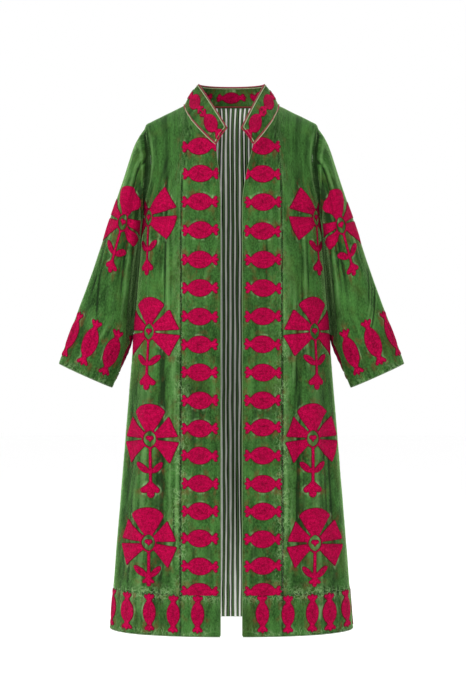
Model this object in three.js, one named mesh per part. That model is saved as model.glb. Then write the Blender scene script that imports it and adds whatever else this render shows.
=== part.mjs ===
// A long open coat of embroidered velvet, kept in the shape that it has when it is worn.
// Each piece is one wall of cloth: two bands and two sides make the fronts, one panel the back,
// and a border runs round the hem. Sleeves, stand collar, its cords and the back lining are sewn on.
//
// Millimetres, +Z up. The fronts face -Y and the wearer's left is +X. The origin is the middle of
// the neck hole, level with the inner ends of the shoulder seams, where the wearer carries the coat.
import * as THREE from 'three';

// Cloth
const WALL = 2.0;             // velvet on its backing
const LINING_WALL = 1.0;
const LINING_GAP = 0.7;       // from the lining's face to the velvet's inner face
const COLLAR_WALL = 2.6;
const SEAM = 0.3;             // between pieces that are sewn together
const SEAM_SLACK = 0.02;
const CORD_RADIUS = 1.2;      // piping round the collar
const CORD_SIDES = 6;
const CORD_SLACK = 0.85;      // more room between a cord and the collar, where it turns

// Body
const HEM_Z = -1196;
const HEM_SEAM_Z = -1105;     // top of the hem border
const UNDERARM_Z = -240;
const UNDERARM_SIZE = { half: 200, front: 121, back: 118 };
const HEM_SIZE = { half: 278, front: 150, back: 152 };
const SQUARENESS = 2.3;       // 2 is an ellipse, more is squarer
const EDGE_X = 25;            // front edge to the middle of the coat
const BAND_WIDTH = 89;        // front band, edge to seam

// Neck, shoulder and armhole
const NECK = { half: 108, front: 112, back: 72, backRise: 6, drop: 100 };
const FRONT_NECK_X = { left: 50, right: 36 };   // lower end of the neck seam
const SHOULDER = { x: 195, z: -43 };
const FRONT_NECK_FADE = 5;    // how soon the neck's curve dies out below the neck seam
const BACK_NECK_FADE = 12;
const ARMHOLE = { front: 62, back: 66, frontInset: 15, backInset: 9 };
const ARMHOLE_CLEAR_Z = -120; // below this height the sleeve starts outside the body's side
const UNDERARM_GAP = 2.5;     // from the middle of the body's wall to the middle of the sleeve's
const ARMHOLE_SLACK = 0.15;
const UNDERARM_PUSH = 1.8;    // further out again, towards the underarm
const SLEEVE_GAP = 9;
const SLEEVE_START = 0.25;    // station that gives the sleeve's direction at the armhole

// Collar
const COLLAR_TOP = { half: 76, back: 67, sideZ: 49, backZ: 52, tipY: -115, tipZ: -65 };
const COLLAR_TIP_X = { left: 23, right: 11 };
const COLLAR_ROLL = 2.5;      // how far the band bulges between its edges
const FOOT_SLACK = 0.4;       // more room under the collar, where the seam turns
const SEAM_CORD_RISE = 0.16;  // share of the lowest row of the collar

// Grid of each piece
const BAND_COLUMNS = 5;
const SIDE_COLUMNS = 10;
const NECK_COLUMNS = 6;       // half of the back, under the neck hole
const SHOULDER_COLUMNS = 7;   // half of the back, under one shoulder
const NECK_SHARE = NECK_COLUMNS / (NECK_COLUMNS + SHOULDER_COLUMNS);
const HEM_ROWS = 2;
const SKIRT_ROWS = 12;
const YOKE_ROWS = 10;         // underarm to shoulder, and half the columns of a sleeve
const SLEEVE_ROWS = 14;
const COLLAR_ROWS = 3;
const ARC_STEPS = 60;

// Sleeve stations from armhole to cuff: the outer and inner edge seen from the front,
// half the depth, how far back the middle lies, and how far the inner back tucks behind the body.
const SLEEVE = [
  { outerX: 196, outerZ: -43, innerX: 200, innerZ: -240, depth: 64, midY: 0, tuck: 0 },
  { outerX: 222, outerZ: -92, innerX: 211, innerZ: -272, depth: 69, midY: 2, tuck: 4 },
  { outerX: 250, outerZ: -176, innerX: 217, innerZ: -326, depth: 72, midY: 4, tuck: 16 },
  { outerX: 283, outerZ: -272, innerX: 224, innerZ: -398, depth: 68, midY: 6, tuck: 26 },
  { outerX: 318, outerZ: -378, innerX: 231, innerZ: -478, depth: 62, midY: 5, tuck: 24 },
  { outerX: 350, outerZ: -466, innerX: 240, innerZ: -548, depth: 56, midY: 3, tuck: 10 },
  { outerX: 376, outerZ: -536, innerX: 256, innerZ: -602, depth: 50, midY: 0, tuck: 0 },
  { outerX: 396, outerZ: -591, innerX: 274, innerZ: -646, depth: 45, midY: 0, tuck: 0 },
];

// Folds. at: distance round the row from the front edge, or from centre back, at the lower end.
// lean: how much further out the upper end lies. depth: out is positive. fade: length of each end.
const FRONT_FOLDS = {
  right: [
    { at: 108, lean: 4, reach: 30, depth: 3.5, low: -1090, high: -180, fade: 160 },
    { at: 146, lean: -20, reach: 32, depth: -5.0, low: -1240, high: -420, fade: 180 },
    { at: 200, lean: -36, reach: 40, depth: 5.5, low: -1240, high: -480, fade: 200 },
    { at: 264, lean: -56, reach: 38, depth: -5.0, low: -1240, high: -520, fade: 220 },
    { at: 132, lean: 6, reach: 30, depth: -4.0, low: -340, high: -70, fade: 90 },
    { at: 44, lean: 2, reach: 36, depth: -2.0, low: -1000, high: -330, fade: 200 },
  ],
  left: [
    { at: 104, lean: 2, reach: 28, depth: 3.5, low: -1080, high: -260, fade: 150 },
    { at: 138, lean: -22, reach: 32, depth: -5.5, low: -1140, high: -540, fade: 190 },
    { at: 178, lean: -14, reach: 34, depth: 5.0, low: -1240, high: -430, fade: 180 },
    { at: 236, lean: -42, reach: 38, depth: -5.0, low: -1240, high: -560, fade: 210 },
    { at: 138, lean: -6, reach: 30, depth: -4.0, low: -370, high: -90, fade: 90 },
    { at: 50, lean: -6, reach: 38, depth: -2.0, low: -980, high: -180, fade: 200 },
  ],
};
const BACK_FOLDS = [
  { at: 0, lean: 0, reach: 42, depth: 5.0, low: -1240, high: -420, fade: 260 },
  { at: 78, lean: -16, reach: 40, depth: -6.0, low: -1240, high: -330, fade: 240 },
  { at: -70, lean: 10, reach: 40, depth: -5.0, low: -1240, high: -480, fade: 220 },
  { at: 156, lean: -34, reach: 44, depth: 6.0, low: -1240, high: -520, fade: 240 },
  { at: -146, lean: 30, reach: 42, depth: 6.5, low: -1240, high: -400, fade: 230 },
  { at: 240, lean: -58, reach: 42, depth: -5.5, low: -1240, high: -600, fade: 210 },
  { at: -232, lean: 50, reach: 42, depth: -5.0, low: -1240, high: -560, fade: 230 },
  { at: 116, lean: 14, reach: 36, depth: -3.5, low: -400, high: -110, fade: 110 },
  { at: -122, lean: -12, reach: 36, depth: -3.5, low: -420, high: -100, fade: 110 },
];

// The sleeve's inner back lies behind the body, at this angle round it.
const TUCK_ANGLE = 235 * Math.PI / 180;

// Sleeve folds. angle: 0 outer edge, 90 front, 180 inner, 270 back, at the upper end, turning by turn.
const SLEEVE_FOLDS = {
  right: [
    { angle: 50, turn: 14, reach: 30, depth: 5.0, from: 0.3, to: 3.4 },
    { angle: 86, turn: 22, reach: 28, depth: -6.0, from: 0.2, to: 3.8 },
    { angle: 124, turn: 10, reach: 30, depth: 4.5, from: 0.6, to: 6.0 },
    { angle: 56, turn: -14, reach: 34, depth: -3.5, from: 3.2, to: 6.8 },
    { angle: 262, turn: 16, reach: 34, depth: -5.0, from: 0.3, to: 4.2 },
    { angle: 316, turn: -10, reach: 34, depth: 4.5, from: 0.5, to: 5.2 },
  ],
  left: [
    { angle: 54, turn: 10, reach: 30, depth: 5.0, from: 0.3, to: 3.0 },
    { angle: 88, turn: 18, reach: 28, depth: -6.0, from: 0.2, to: 4.2 },
    { angle: 126, turn: 6, reach: 30, depth: 4.5, from: 0.8, to: 5.6 },
    { angle: 24, turn: 36, reach: 28, depth: -4.0, from: 3.6, to: 5.6 },
    { angle: 256, turn: 20, reach: 34, depth: -5.0, from: 0.3, to: 4.4 },
    { angle: 310, turn: -12, reach: 34, depth: 4.5, from: 0.6, to: 5.0 },
  ],
};

const MATERIALS = {
  velvet: new THREE.MeshStandardMaterial({ color: 0x436d38, roughness: 0.85, metalness: 0 }),
  lining: new THREE.MeshStandardMaterial({ color: 0x4f5947, roughness: 0.6, metalness: 0 }),
  cord: new THREE.MeshStandardMaterial({ color: 0x9a3a44, roughness: 0.7, metalness: 0 }),
};
const SIGN = { left: 1, right: -1 };

const vec = (x, y, z) => new THREE.Vector3(x, y, z);
const mix = (a, b, t) => a + (b - a) * t;
const between = (a, b, t) => a.clone().lerp(b, t);

// 1 at the middle of a fold and 0 at its reach.
function bell(distance, reach) {
  const share = Math.abs(distance) / reach;
  return share < 1 ? Math.cos(share * Math.PI / 2) ** 2 : 0;
}

function ramp(value, start, length) {
  const t = Math.min(1, Math.max(0, (value - start) / length));
  return t * t * (3 - 2 * t);
}

// How far a row's point stands out of the plain form.
function foldHeight(folds, distance, z) {
  let height = 0;
  for (const fold of folds) {
    const rise = ramp(z, fold.low, fold.fade) * ramp(-z, -fold.high, fold.fade);
    const middle = fold.at + fold.lean * (z - fold.low) / (fold.high - fold.low);
    height += fold.depth * rise * bell(distance - middle, fold.reach);
  }
  return height;
}

// The body's section at a height: half of it, from startX to the side seam.
function halfSection(z, facing, startX) {
  const share = (UNDERARM_Z - z) / (UNDERARM_Z - HEM_Z);
  const half = mix(UNDERARM_SIZE.half, HEM_SIZE.half, share);
  const key = facing < 0 ? 'front' : 'back';
  const depth = mix(UNDERARM_SIZE[key], HEM_SIZE[key], share);
  const power = 2 / SQUARENESS;
  const start = Math.asin((startX / half) ** (1 / power));
  const points = [];
  for (let i = 0; i <= ARC_STEPS; i++) {
    const angle = mix(start, Math.PI / 2, i / ARC_STEPS);
    const across = Math.max(0, Math.cos(angle));
    points.push(vec(half * Math.sin(angle) ** power, facing * depth * across ** power, z));
  }
  return points;
}

function lengthOf(points) {
  let length = 0;
  for (let i = 1; i < points.length; i++) length += points[i].distanceTo(points[i - 1]);
  return length;
}

// The point at a distance along a line of points.
function walk(points, distance) {
  let left = distance;
  for (let i = 1; i < points.length; i++) {
    const step = points[i].distanceTo(points[i - 1]);
    if (left <= step || i === points.length - 1) {
      return between(points[i - 1], points[i], left / step);
    }
    left -= step;
  }
  return points[0].clone();
}

// Half of the armhole, from the underarm at angle 0 to the shoulder at angle pi.
function armhole(angle, facing) {
  const depth = facing < 0 ? ARMHOLE.front : ARMHOLE.back;
  const inset = facing < 0 ? ARMHOLE.frontInset : ARMHOLE.backInset;
  const rise = (1 - Math.cos(angle)) / 2;
  return vec(
    mix(UNDERARM_SIZE.half, SHOULDER.x, rise) - inset * Math.sin(angle) ** 3,
    facing * depth * Math.sin(angle),
    mix(UNDERARM_Z, SHOULDER.z, rise),
  );
}

// The neck seam in front, from the shoulder at 0 to the front edge at 1.
function frontNeck(share, side) {
  const x = FRONT_NECK_X[side];
  return vec(
    x + (NECK.half - x) * (1 - share ** 1.3),
    -NECK.front * Math.sin(Math.PI / 2 * share ** 0.72),
    -NECK.drop * share ** 0.786,
  );
}

// The neck seam behind, from centre back at 0 to the shoulder at 1.
function backNeck(share) {
  const angle = (1 - share) * Math.PI / 2;
  const rise = NECK.backRise * Math.sin(angle) ** 1.5;
  return vec(NECK.half * Math.cos(angle), NECK.back * Math.sin(angle), rise);
}

// How the chest leans back towards the shoulder seam as it rises.
const lean = (rise) => Math.max(0, 1 - rise ** 2.6) ** 0.6;
// How much of the chest's roundness is left beside the armhole.
const armBulge = (angle) => (angle < Math.PI / 2 ? 1 : Math.sin(angle) ** 2);
const settle = (rise) => 1 - ramp(rise, 0, 1);

// Splits a line of points into evenly spaced ones between two distances.
function evenly(points, from, to, columns) {
  return Array.from({ length: columns + 1 }, (_, i) => walk(points, mix(from, to, i / columns)));
}

// Splits a section from a distance along it to where it comes as near to the middle as the armhole.
function sideRow(arc, from, armDepth, columns) {
  let to = lengthOf(arc);
  for (let i = arc.length - 1; i > 0 && Math.abs(arc[i].y) < armDepth; i--) {
    const share = (armDepth - Math.abs(arc[i].y)) / (Math.abs(arc[i - 1].y) - Math.abs(arc[i].y));
    to -= arc[i].distanceTo(arc[i - 1]) * Math.min(1, share);
  }
  return evenly(arc, from, to, columns);
}

// How far each point of a row lies from the straight line between its ends.
function bow(row) {
  return row.map((p, i) => p.clone().sub(between(row[0], row.at(-1), i / (row.length - 1))));
}

// One row of a front above the underarm, from the front edge to the armhole.
function frontYokeRow(angle, side) {
  const rise = (1 - Math.cos(angle)) / 2;
  const chestArc = halfSection(mix(UNDERARM_Z, SHOULDER.z, rise), -1, EDGE_X);
  const chestBand = evenly(chestArc, 0, BAND_WIDTH, BAND_COLUMNS);
  const neckLow = frontNeck(1, side);
  const neckRow = chestBand.map((_, i) => frontNeck(1 - i / BAND_COLUMNS, side));
  const edge = vec(
    mix(EDGE_X, neckLow.x, rise ** 1.6),
    mix(chestBand[0].y, neckLow.y, rise),
    mix(UNDERARM_Z, neckLow.z, rise),
  );
  const foot = chestBand.at(-1);
  const seam = vec(mix(foot.x, NECK.half, rise), foot.y * lean(rise), mix(UNDERARM_Z, 0, rise));
  const arm = armhole(angle, -1);
  const chestBow = bow(chestBand);
  const neckBow = bow(neckRow);
  const band = chestBow.map((b, i) => between(edge, seam, i / BAND_COLUMNS)
    .addScaledVector(b, settle(rise)).addScaledVector(neckBow[i], rise ** FRONT_NECK_FADE));
  const armDepth = Math.max(Math.abs(arm.y), angle > Math.PI / 2 ? ARMHOLE.front : 0);
  const sideBow = bow(sideRow(chestArc, BAND_WIDTH, armDepth, SIDE_COLUMNS));
  const panel = sideBow.map((b, i) => between(seam, arm, i / SIDE_COLUMNS)
    .addScaledVector(b, armBulge(angle)));
  return [...band, ...panel.slice(1)];
}

// One row of half a back above the underarm, from centre back to the armhole.
function backYokeRow(angle) {
  const rise = (1 - Math.cos(angle)) / 2;
  const chestArc = halfSection(mix(UNDERARM_Z, SHOULDER.z, rise), 1, 0);
  const shoulderStart = NECK_SHARE * lengthOf(chestArc);
  const chestNeck = evenly(chestArc, 0, shoulderStart, NECK_COLUMNS);
  const neckRow = chestNeck.map((_, i) => backNeck(i / NECK_COLUMNS));
  const centreY = mix(NECK.back, chestNeck[0].y, lean(rise));
  const centre = vec(0, centreY, mix(UNDERARM_Z, neckRow[0].z, rise));
  const foot = chestNeck.at(-1);
  const seam = vec(mix(foot.x, NECK.half, rise), foot.y * lean(rise), mix(UNDERARM_Z, 0, rise));
  const arm = armhole(angle, 1);
  const chestBow = bow(chestNeck);
  const neckBow = bow(neckRow);
  const inner = chestBow.map((b, i) => between(centre, seam, i / NECK_COLUMNS)
    .addScaledVector(b, settle(rise)).addScaledVector(neckBow[i], rise ** BACK_NECK_FADE));
  const armDepth = Math.max(arm.y, angle > Math.PI / 2 ? ARMHOLE.back : 0);
  const shoulderBow = bow(sideRow(chestArc, shoulderStart, armDepth, SHOULDER_COLUMNS));
  const outer = shoulderBow.map((b, i) => between(seam, arm, i / SHOULDER_COLUMNS)
    .addScaledVector(b, armBulge(angle)));
  return [...inner, ...outer.slice(1)];
}

// Heights of the rows below the underarm, hem first.
const skirtHeights = [
  ...Array.from({ length: HEM_ROWS }, (_, i) => mix(HEM_Z, HEM_SEAM_Z, i / HEM_ROWS)),
  ...Array.from({ length: SKIRT_ROWS + 1 }, (_, i) => mix(HEM_SEAM_Z, UNDERARM_Z, i / SKIRT_ROWS)),
];
const yokeAngles = Array.from({ length: YOKE_ROWS }, (_, i) => Math.PI * (i + 1) / YOKE_ROWS);

function frontRows(side) {
  const rows = skirtHeights.map((z) => {
    const arc = halfSection(z, -1, EDGE_X);
    const band = evenly(arc, 0, BAND_WIDTH, BAND_COLUMNS);
    return [...band, ...evenly(arc, BAND_WIDTH, lengthOf(arc), SIDE_COLUMNS).slice(1)];
  });
  for (const angle of yokeAngles) rows.push(frontYokeRow(angle, side));
  return rows;
}

function halfBackRows() {
  const rows = skirtHeights.map((z) => {
    const arc = halfSection(z, 1, 0);
    const length = lengthOf(arc);
    const inner = evenly(arc, 0, NECK_SHARE * length, NECK_COLUMNS);
    return [...inner, ...evenly(arc, NECK_SHARE * length, length, SHOULDER_COLUMNS).slice(1)];
  });
  for (const angle of yokeAngles) rows.push(backYokeRow(angle));
  return rows;
}

// Normals of a grid of points, by the differences between neighbours.
function normalsOf(rows, outwards, closed = false) {
  const last = rows.length - 1;
  return rows.map((row, r) => row.map((_, c) => {
    const end = row.length - 1;
    const right = closed ? row[(c + 1) % row.length] : row[Math.min(end, c + 1)];
    const left = closed ? row[(c + end) % row.length] : row[Math.max(0, c - 1)];
    const across = right.clone().sub(left);
    const up = rows[Math.min(last, r + 1)][c].clone().sub(rows[Math.max(0, r - 1)][c]);
    return across.cross(up).normalize().multiplyScalar(outwards);
  }));
}

// On a side seam or shoulder seam both pieces share a normal that has no part along Y.
function squareSeam(normals, r, c) {
  normals[r][c].setY(0).normalize();
}

// Moves the points of a plain grid out by the folds, then finds the normals again.
function drape(rows, outwards, folds, distances) {
  const plain = normalsOf(rows, outwards);
  const moved = rows.map((row, r) => row.map((p, c) => p.clone()
    .addScaledVector(plain[r][c], foldHeight(folds, distances[r][c], p.z))));
  return { points: moved, normals: normalsOf(moved, outwards) };
}

function distancesAlong(rows, origin = 0) {
  return rows.map((row) => {
    const run = [0];
    for (let c = 1; c < row.length; c++) run.push(run[c - 1] + row[c].distanceTo(row[c - 1]));
    return run.map((d) => d - run[origin]);
  });
}

const topRow = HEM_ROWS + SKIRT_ROWS + YOKE_ROWS;
const underarmRow = HEM_ROWS + SKIRT_ROWS;
const backColumns = 2 * (NECK_COLUMNS + SHOULDER_COLUMNS);

function frontGrid(side) {
  const sign = SIGN[side];
  const rows = frontRows(side);
  const distances = distancesAlong(rows);
  const turned = rows.map((row) => row.map((p) => vec(p.x * sign, p.y, p.z)));
  const grid = drape(turned, sign, FRONT_FOLDS[side], distances);
  const end = BAND_COLUMNS + SIDE_COLUMNS;
  for (let r = 0; r <= underarmRow; r++) squareSeam(grid.normals, r, end);
  for (let c = BAND_COLUMNS; c <= end; c++) squareSeam(grid.normals, topRow, c);
  return grid;
}

function backGrid() {
  const half = halfBackRows();
  const rows = half.map((row) => [
    ...row.slice(1).reverse().map((p) => vec(-p.x, p.y, p.z)),
    ...row,
  ]);
  const middle = NECK_COLUMNS + SHOULDER_COLUMNS;
  const grid = drape(rows, -1, BACK_FOLDS, distancesAlong(rows, middle));
  for (let r = 0; r <= underarmRow; r++) {
    squareSeam(grid.normals, r, 0);
    squareSeam(grid.normals, r, 2 * middle);
  }
  for (let c = 0; c <= 2 * middle; c++) {
    if (Math.abs(c - middle) >= NECK_COLUMNS) squareSeam(grid.normals, topRow, c);
  }
  return grid;
}

// Draws an edge point back into its piece by half a seam, square to the edge.
function drawBack(p, inner, before, after) {
  const along = after.clone().sub(before).normalize();
  const into = inner.clone().sub(p);
  into.addScaledVector(along, -into.dot(along)).normalize();
  return p.clone().addScaledVector(into, SEAM / 2 + SEAM_SLACK);
}

// Cuts rows r0 to r1 and columns c0 to c1 out of a grid. The edges that are sewn draw back.
function cut(grid, [r0, r1], [c0, c1], sewn) {
  const slice = (lines) => lines.slice(r0, r1 + 1).map((row) => row.slice(c0, c1 + 1));
  const points = slice(grid.points);
  const normals = slice(grid.normals);
  const rows = points.length - 1;
  const columns = points[0].length - 1;
  const level = (r, inner) => points[r].map((p, c) => drawBack(
    p,
    points[inner][c],
    points[r][Math.max(0, c - 1)],
    points[r][Math.min(columns, c + 1)],
  ));
  if (sewn.bottom) points[0] = level(0, 1);
  if (sewn.top) points[rows] = level(rows, rows - 1);
  const upright = (c, inner) => points.map((row, r) => drawBack(
    row[c],
    row[inner],
    points[Math.max(0, r - 1)][c],
    points[Math.min(rows, r + 1)][c],
  ));
  if (sewn.start) upright(0, 1).forEach((p, r) => { points[r][0] = p; });
  if (sewn.end) upright(columns, columns - 1).forEach((p, r) => { points[r][columns] = p; });
  return { points, normals };
}

// A closed wall of cloth round a grid: faces at half the thickness on each side, joined by rims.
function wall({ points, normals }, thickness, { closed = false, offset = 0, flip = false } = {}) {
  const rows = points.length;
  const columns = points[0].length;
  const position = [];
  for (const face of [1, -1]) {
    points.forEach((row, r) => row.forEach((p, c) => {
      const q = p.clone().addScaledVector(normals[r][c], offset + face * thickness / 2);
      position.push(q.x, q.y, q.z);
    }));
  }
  const inner = rows * columns;
  const at = (r, c) => r * columns + (c % columns);
  const index = [];
  const quad = (a, b, c, d) => (flip ? index.push(a, d, c, a, c, b) : index.push(a, b, c, a, c, d));
  const lastColumn = closed ? columns : columns - 1;
  const end = columns - 1;
  for (let r = 0; r < rows - 1; r++) {
    for (let c = 0; c < lastColumn; c++) {
      const [a, b, d, e] = [at(r, c), at(r, c + 1), at(r + 1, c + 1), at(r + 1, c)];
      if (flip) {
        index.push(a, e, d, a, d, b);
        index.push(inner + a, inner + d, inner + e, inner + a, inner + b, inner + d);
      } else {
        index.push(a, b, d, a, d, e);
        index.push(inner + a, inner + d, inner + b, inner + a, inner + e, inner + d);
      }
    }
  }
  // Every rim is split the same way, so that two rims along a seam stay parallel.
  for (let c = 0; c < lastColumn; c++) {
    quad(inner + at(0, c), inner + at(0, c + 1), at(0, c + 1), at(0, c));
    const [p, q] = [at(rows - 1, c), at(rows - 1, c + 1)];
    quad(q, inner + q, inner + p, p);
  }
  for (let r = 0; r < rows - 1 && !closed; r++) {
    quad(inner + at(r, 0), at(r, 0), at(r + 1, 0), inner + at(r + 1, 0));
    quad(inner + at(r, end), inner + at(r + 1, end), at(r + 1, end), at(r, end));
  }
  const geometry = new THREE.BufferGeometry();
  geometry.setAttribute('position', new THREE.Float32BufferAttribute(position, 3));
  geometry.setIndex(index);
  return geometry;
}

// A value of the sleeve table at a station, on a smooth curve through its rows.
function station(name, t) {
  const i = Math.min(SLEEVE.length - 2, Math.floor(t));
  const at = (k) => SLEEVE[Math.min(SLEEVE.length - 1, Math.max(0, k))][name];
  const [a, b, c, d] = [at(i - 1), at(i), at(i + 1), at(i + 2)];
  const u = t - i;
  return b + 0.5 * u * (c - a + u * (2 * a - 5 * b + 4 * c - d + u * (3 * (b - c) + d - a)));
}

// Half the width of the body at a depth and height.
function bodyHalfWidth(y, z) {
  const share = Math.max(0, (UNDERARM_Z - z) / (UNDERARM_Z - HEM_Z));
  const key = y < 0 ? 'front' : 'back';
  const half = mix(UNDERARM_SIZE.half, HEM_SIZE.half, share);
  const depth = mix(UNDERARM_SIZE[key], HEM_SIZE[key], share);
  return half * Math.max(0, 1 - (Math.abs(y) / depth) ** SQUARENESS) ** (1 / SQUARENESS);
}

// A point of a sleeve: t runs from 0 at the armhole to the last station at the cuff.
// The angle is 0 at the outer edge, a quarter turn in front and half a turn at the inner edge.
function sleevePoint(t, angle) {
  const out = (1 + Math.cos(angle)) / 2;
  const tuck = station('tuck', t) * Math.max(0, Math.cos(angle - TUCK_ANGLE)) ** 2;
  const y = station('midY', t) - station('depth', t) * Math.sin(angle);
  const z = mix(station('innerZ', t), station('outerZ', t), out);
  const x = mix(station('innerX', t), station('outerX', t), out) - tuck;
  const gap = mix(UNDERARM_GAP, SLEEVE_GAP, Math.min(1, t));
  return vec(Math.max(x, bodyHalfWidth(y, z) + gap), y, z);
}

function sleeveFold(folds, t, degrees) {
  let height = 0;
  for (const fold of folds) {
    const along = (t - fold.from) / (fold.to - fold.from);
    if (along <= 0 || along >= 1) continue;
    const away = ((degrees - fold.angle - fold.turn * along + 540) % 360) - 180;
    height += fold.depth * Math.sin(Math.PI * along) ** 0.8 * bell(away, fold.reach);
  }
  return height;
}

// The armhole's points on the wearer's left, from the shoulder round the front to the underarm and back.
function armholeEdge(front, back, sign) {
  const fromFront = (c) => [front.points[topRow - c].at(-1), front.normals[topRow - c].at(-1)];
  const behind = (c) => {
    const column = sign > 0 ? backColumns : 0;
    return [back.points[topRow - c][column], back.normals[topRow - c][column]];
  };
  const columns = 2 * YOKE_ROWS;
  return Array.from({ length: columns }, (_, c) => (
    c <= YOKE_ROWS ? fromFront(c) : behind(columns - c)));
}

function sleeveGrid(side, front, back) {
  const sign = SIGN[side];
  const columns = 2 * YOKE_ROWS;
  const length = SLEEVE.length - 1;
  const edge = armholeEdge(front, back, sign);
  const plainPoint = (r, c) => {
    const t = r / SLEEVE_ROWS * length;
    const angle = 2 * Math.PI * c / columns;
    const p = sleevePoint(t, angle);
    p.x *= sign;
    const near = Math.max(0, 1 - t) ** 2;
    if (near === 0) return p;
    const first = sleevePoint(0, angle);
    const along = sleevePoint(SLEEVE_START, angle).sub(first);
    first.x *= sign;
    along.x *= sign;
    along.normalize();
    const [seam, normal] = edge[c];
    const before = edge[(c + columns - 1) % columns][0];
    const edgeAlong = edge[(c + 1) % columns][0].clone().sub(before).normalize();
    along.addScaledVector(edgeAlong, -along.dot(edgeAlong)).normalize();
    const room = SEAM + ARMHOLE_SLACK + WALL / 2 * Math.abs(normal.dot(along));
    const start = seam.clone().addScaledVector(along, room);
    const inside = sign * (start.x - sign * (bodyHalfWidth(start.y, start.z) + UNDERARM_GAP));
    if (inside < 0 && start.z < ARMHOLE_CLEAR_Z) start.x -= sign * inside;
    start.x += sign * UNDERARM_PUSH * Math.max(0, -Math.cos(angle));
    return p.add(start.sub(first).multiplyScalar(near));
  };
  const plain = Array.from({ length: SLEEVE_ROWS + 1 }, (_, r) => (
    Array.from({ length: columns }, (_, c) => plainPoint(r, c))));
  const normals = normalsOf(plain, sign, true);
  const points = plain.map((row, r) => row.map((p, c) => p.clone().addScaledVector(
    normals[r][c],
    sleeveFold(SLEEVE_FOLDS[side], r / SLEEVE_ROWS * length, 360 * c / columns),
  )));
  return { points, normals: normalsOf(points, sign, true) };
}

// The collar's upper edge over the back neck, from centre back at 0 to the side at 1.
function collarTopBehind(share) {
  const angle = (1 - share) * Math.PI / 2;
  return vec(
    COLLAR_TOP.half * Math.cos(angle),
    COLLAR_TOP.back * Math.sin(angle),
    mix(COLLAR_TOP.sideZ, COLLAR_TOP.backZ, Math.sin(angle)),
  );
}

// The collar's upper edge in front, from the side at 0 to the tip at 1.
function collarTopInFront(share, side) {
  return vec(
    mix(COLLAR_TOP.half, COLLAR_TIP_X[side], share),
    COLLAR_TOP.tipY * share,
    mix(COLLAR_TOP.sideZ, COLLAR_TOP.tipZ, share ** 1.05),
  );
}

// The neck seam all round, from the right front edge to the left one.
// Each entry is a seam point, the cloth's normal there and the point of the collar's upper edge.
function neckLine(fronts, back) {
  const half = (side) => {
    const sign = SIGN[side];
    const middle = NECK_COLUMNS + SHOULDER_COLUMNS;
    const behind = Array.from({ length: NECK_COLUMNS }, (_, i) => {
      const column = middle + sign * i;
      const top = collarTopBehind(i / NECK_COLUMNS);
      return [back.points[topRow][column], back.normals[topRow][column], top];
    });
    const inFront = Array.from({ length: BAND_COLUMNS + 1 }, (_, i) => {
      const column = BAND_COLUMNS - i;
      const grid = fronts[side];
      const top = collarTopInFront(i / BAND_COLUMNS, side);
      return [grid.points[topRow][column], grid.normals[topRow][column], top];
    });
    return [...behind, ...inFront].map(([seam, normal, top]) => {
      top.x *= sign;
      return { seam, normal, top };
    });
  };
  return [...half('right').slice(1).reverse(), ...half('left')];
}

function collarGrid(fronts, back) {
  const line = neckLine(fronts, back);
  const feet = line.map(({ seam, normal, top }) => {
    const up = top.clone().sub(seam).normalize();
    return seam.clone().addScaledVector(up, SEAM + FOOT_SLACK + WALL / 2 * Math.abs(normal.dot(up)));
  });
  const flat = Array.from({ length: COLLAR_ROWS + 1 }, (_, r) => line
    .map(({ top }, c) => between(feet[c], top, r / COLLAR_ROWS)));
  const normals = normalsOf(flat, -1);
  const points = flat.map((row, r) => row.map((p, c) => p.clone()
    .addScaledVector(normals[r][c], COLLAR_ROLL * Math.sin(Math.PI * r / COLLAR_ROWS))));
  return { points, normals: normalsOf(points, -1) };
}

// A round cord along a line of points, with a flat end at each end of the line.
function cord(points, normals) {
  const position = [];
  const last = points.length - 1;
  points.forEach((p, i) => {
    const before = p.clone().sub(points[Math.max(0, i - 1)]).normalize();
    const after = points[Math.min(last, i + 1)].clone().sub(p).normalize();
    const along = before.clone().add(after).normalize();
    const bend = i > 0 && i < last ? along.dot(after) : 1;
    const out = normals[i].clone().addScaledVector(along, -normals[i].dot(along)).normalize();
    const side = along.clone().cross(out);
    for (let k = 0; k < CORD_SIDES; k++) {
      const angle = 2 * Math.PI * k / CORD_SIDES;
      const q = p.clone()
        .addScaledVector(out, CORD_RADIUS * Math.cos(angle))
        .addScaledVector(side, CORD_RADIUS * Math.sin(angle) / bend);
      position.push(q.x, q.y, q.z);
    }
  });
  const at = (i, k) => i * CORD_SIDES + (k % CORD_SIDES);
  const index = [];
  for (let i = 0; i < last; i++) {
    for (let k = 0; k < CORD_SIDES; k++) {
      index.push(at(i, k), at(i, k + 1), at(i + 1, k + 1), at(i, k), at(i + 1, k + 1), at(i + 1, k));
    }
  }
  for (let k = 1; k < CORD_SIDES - 1; k++) {
    index.push(at(0, 0), at(0, k + 1), at(0, k), at(last, 0), at(last, k), at(last, k + 1));
  }
  const geometry = new THREE.BufferGeometry();
  geometry.setAttribute('position', new THREE.Float32BufferAttribute(position, 3));
  geometry.setIndex(index);
  return geometry;
}

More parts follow.
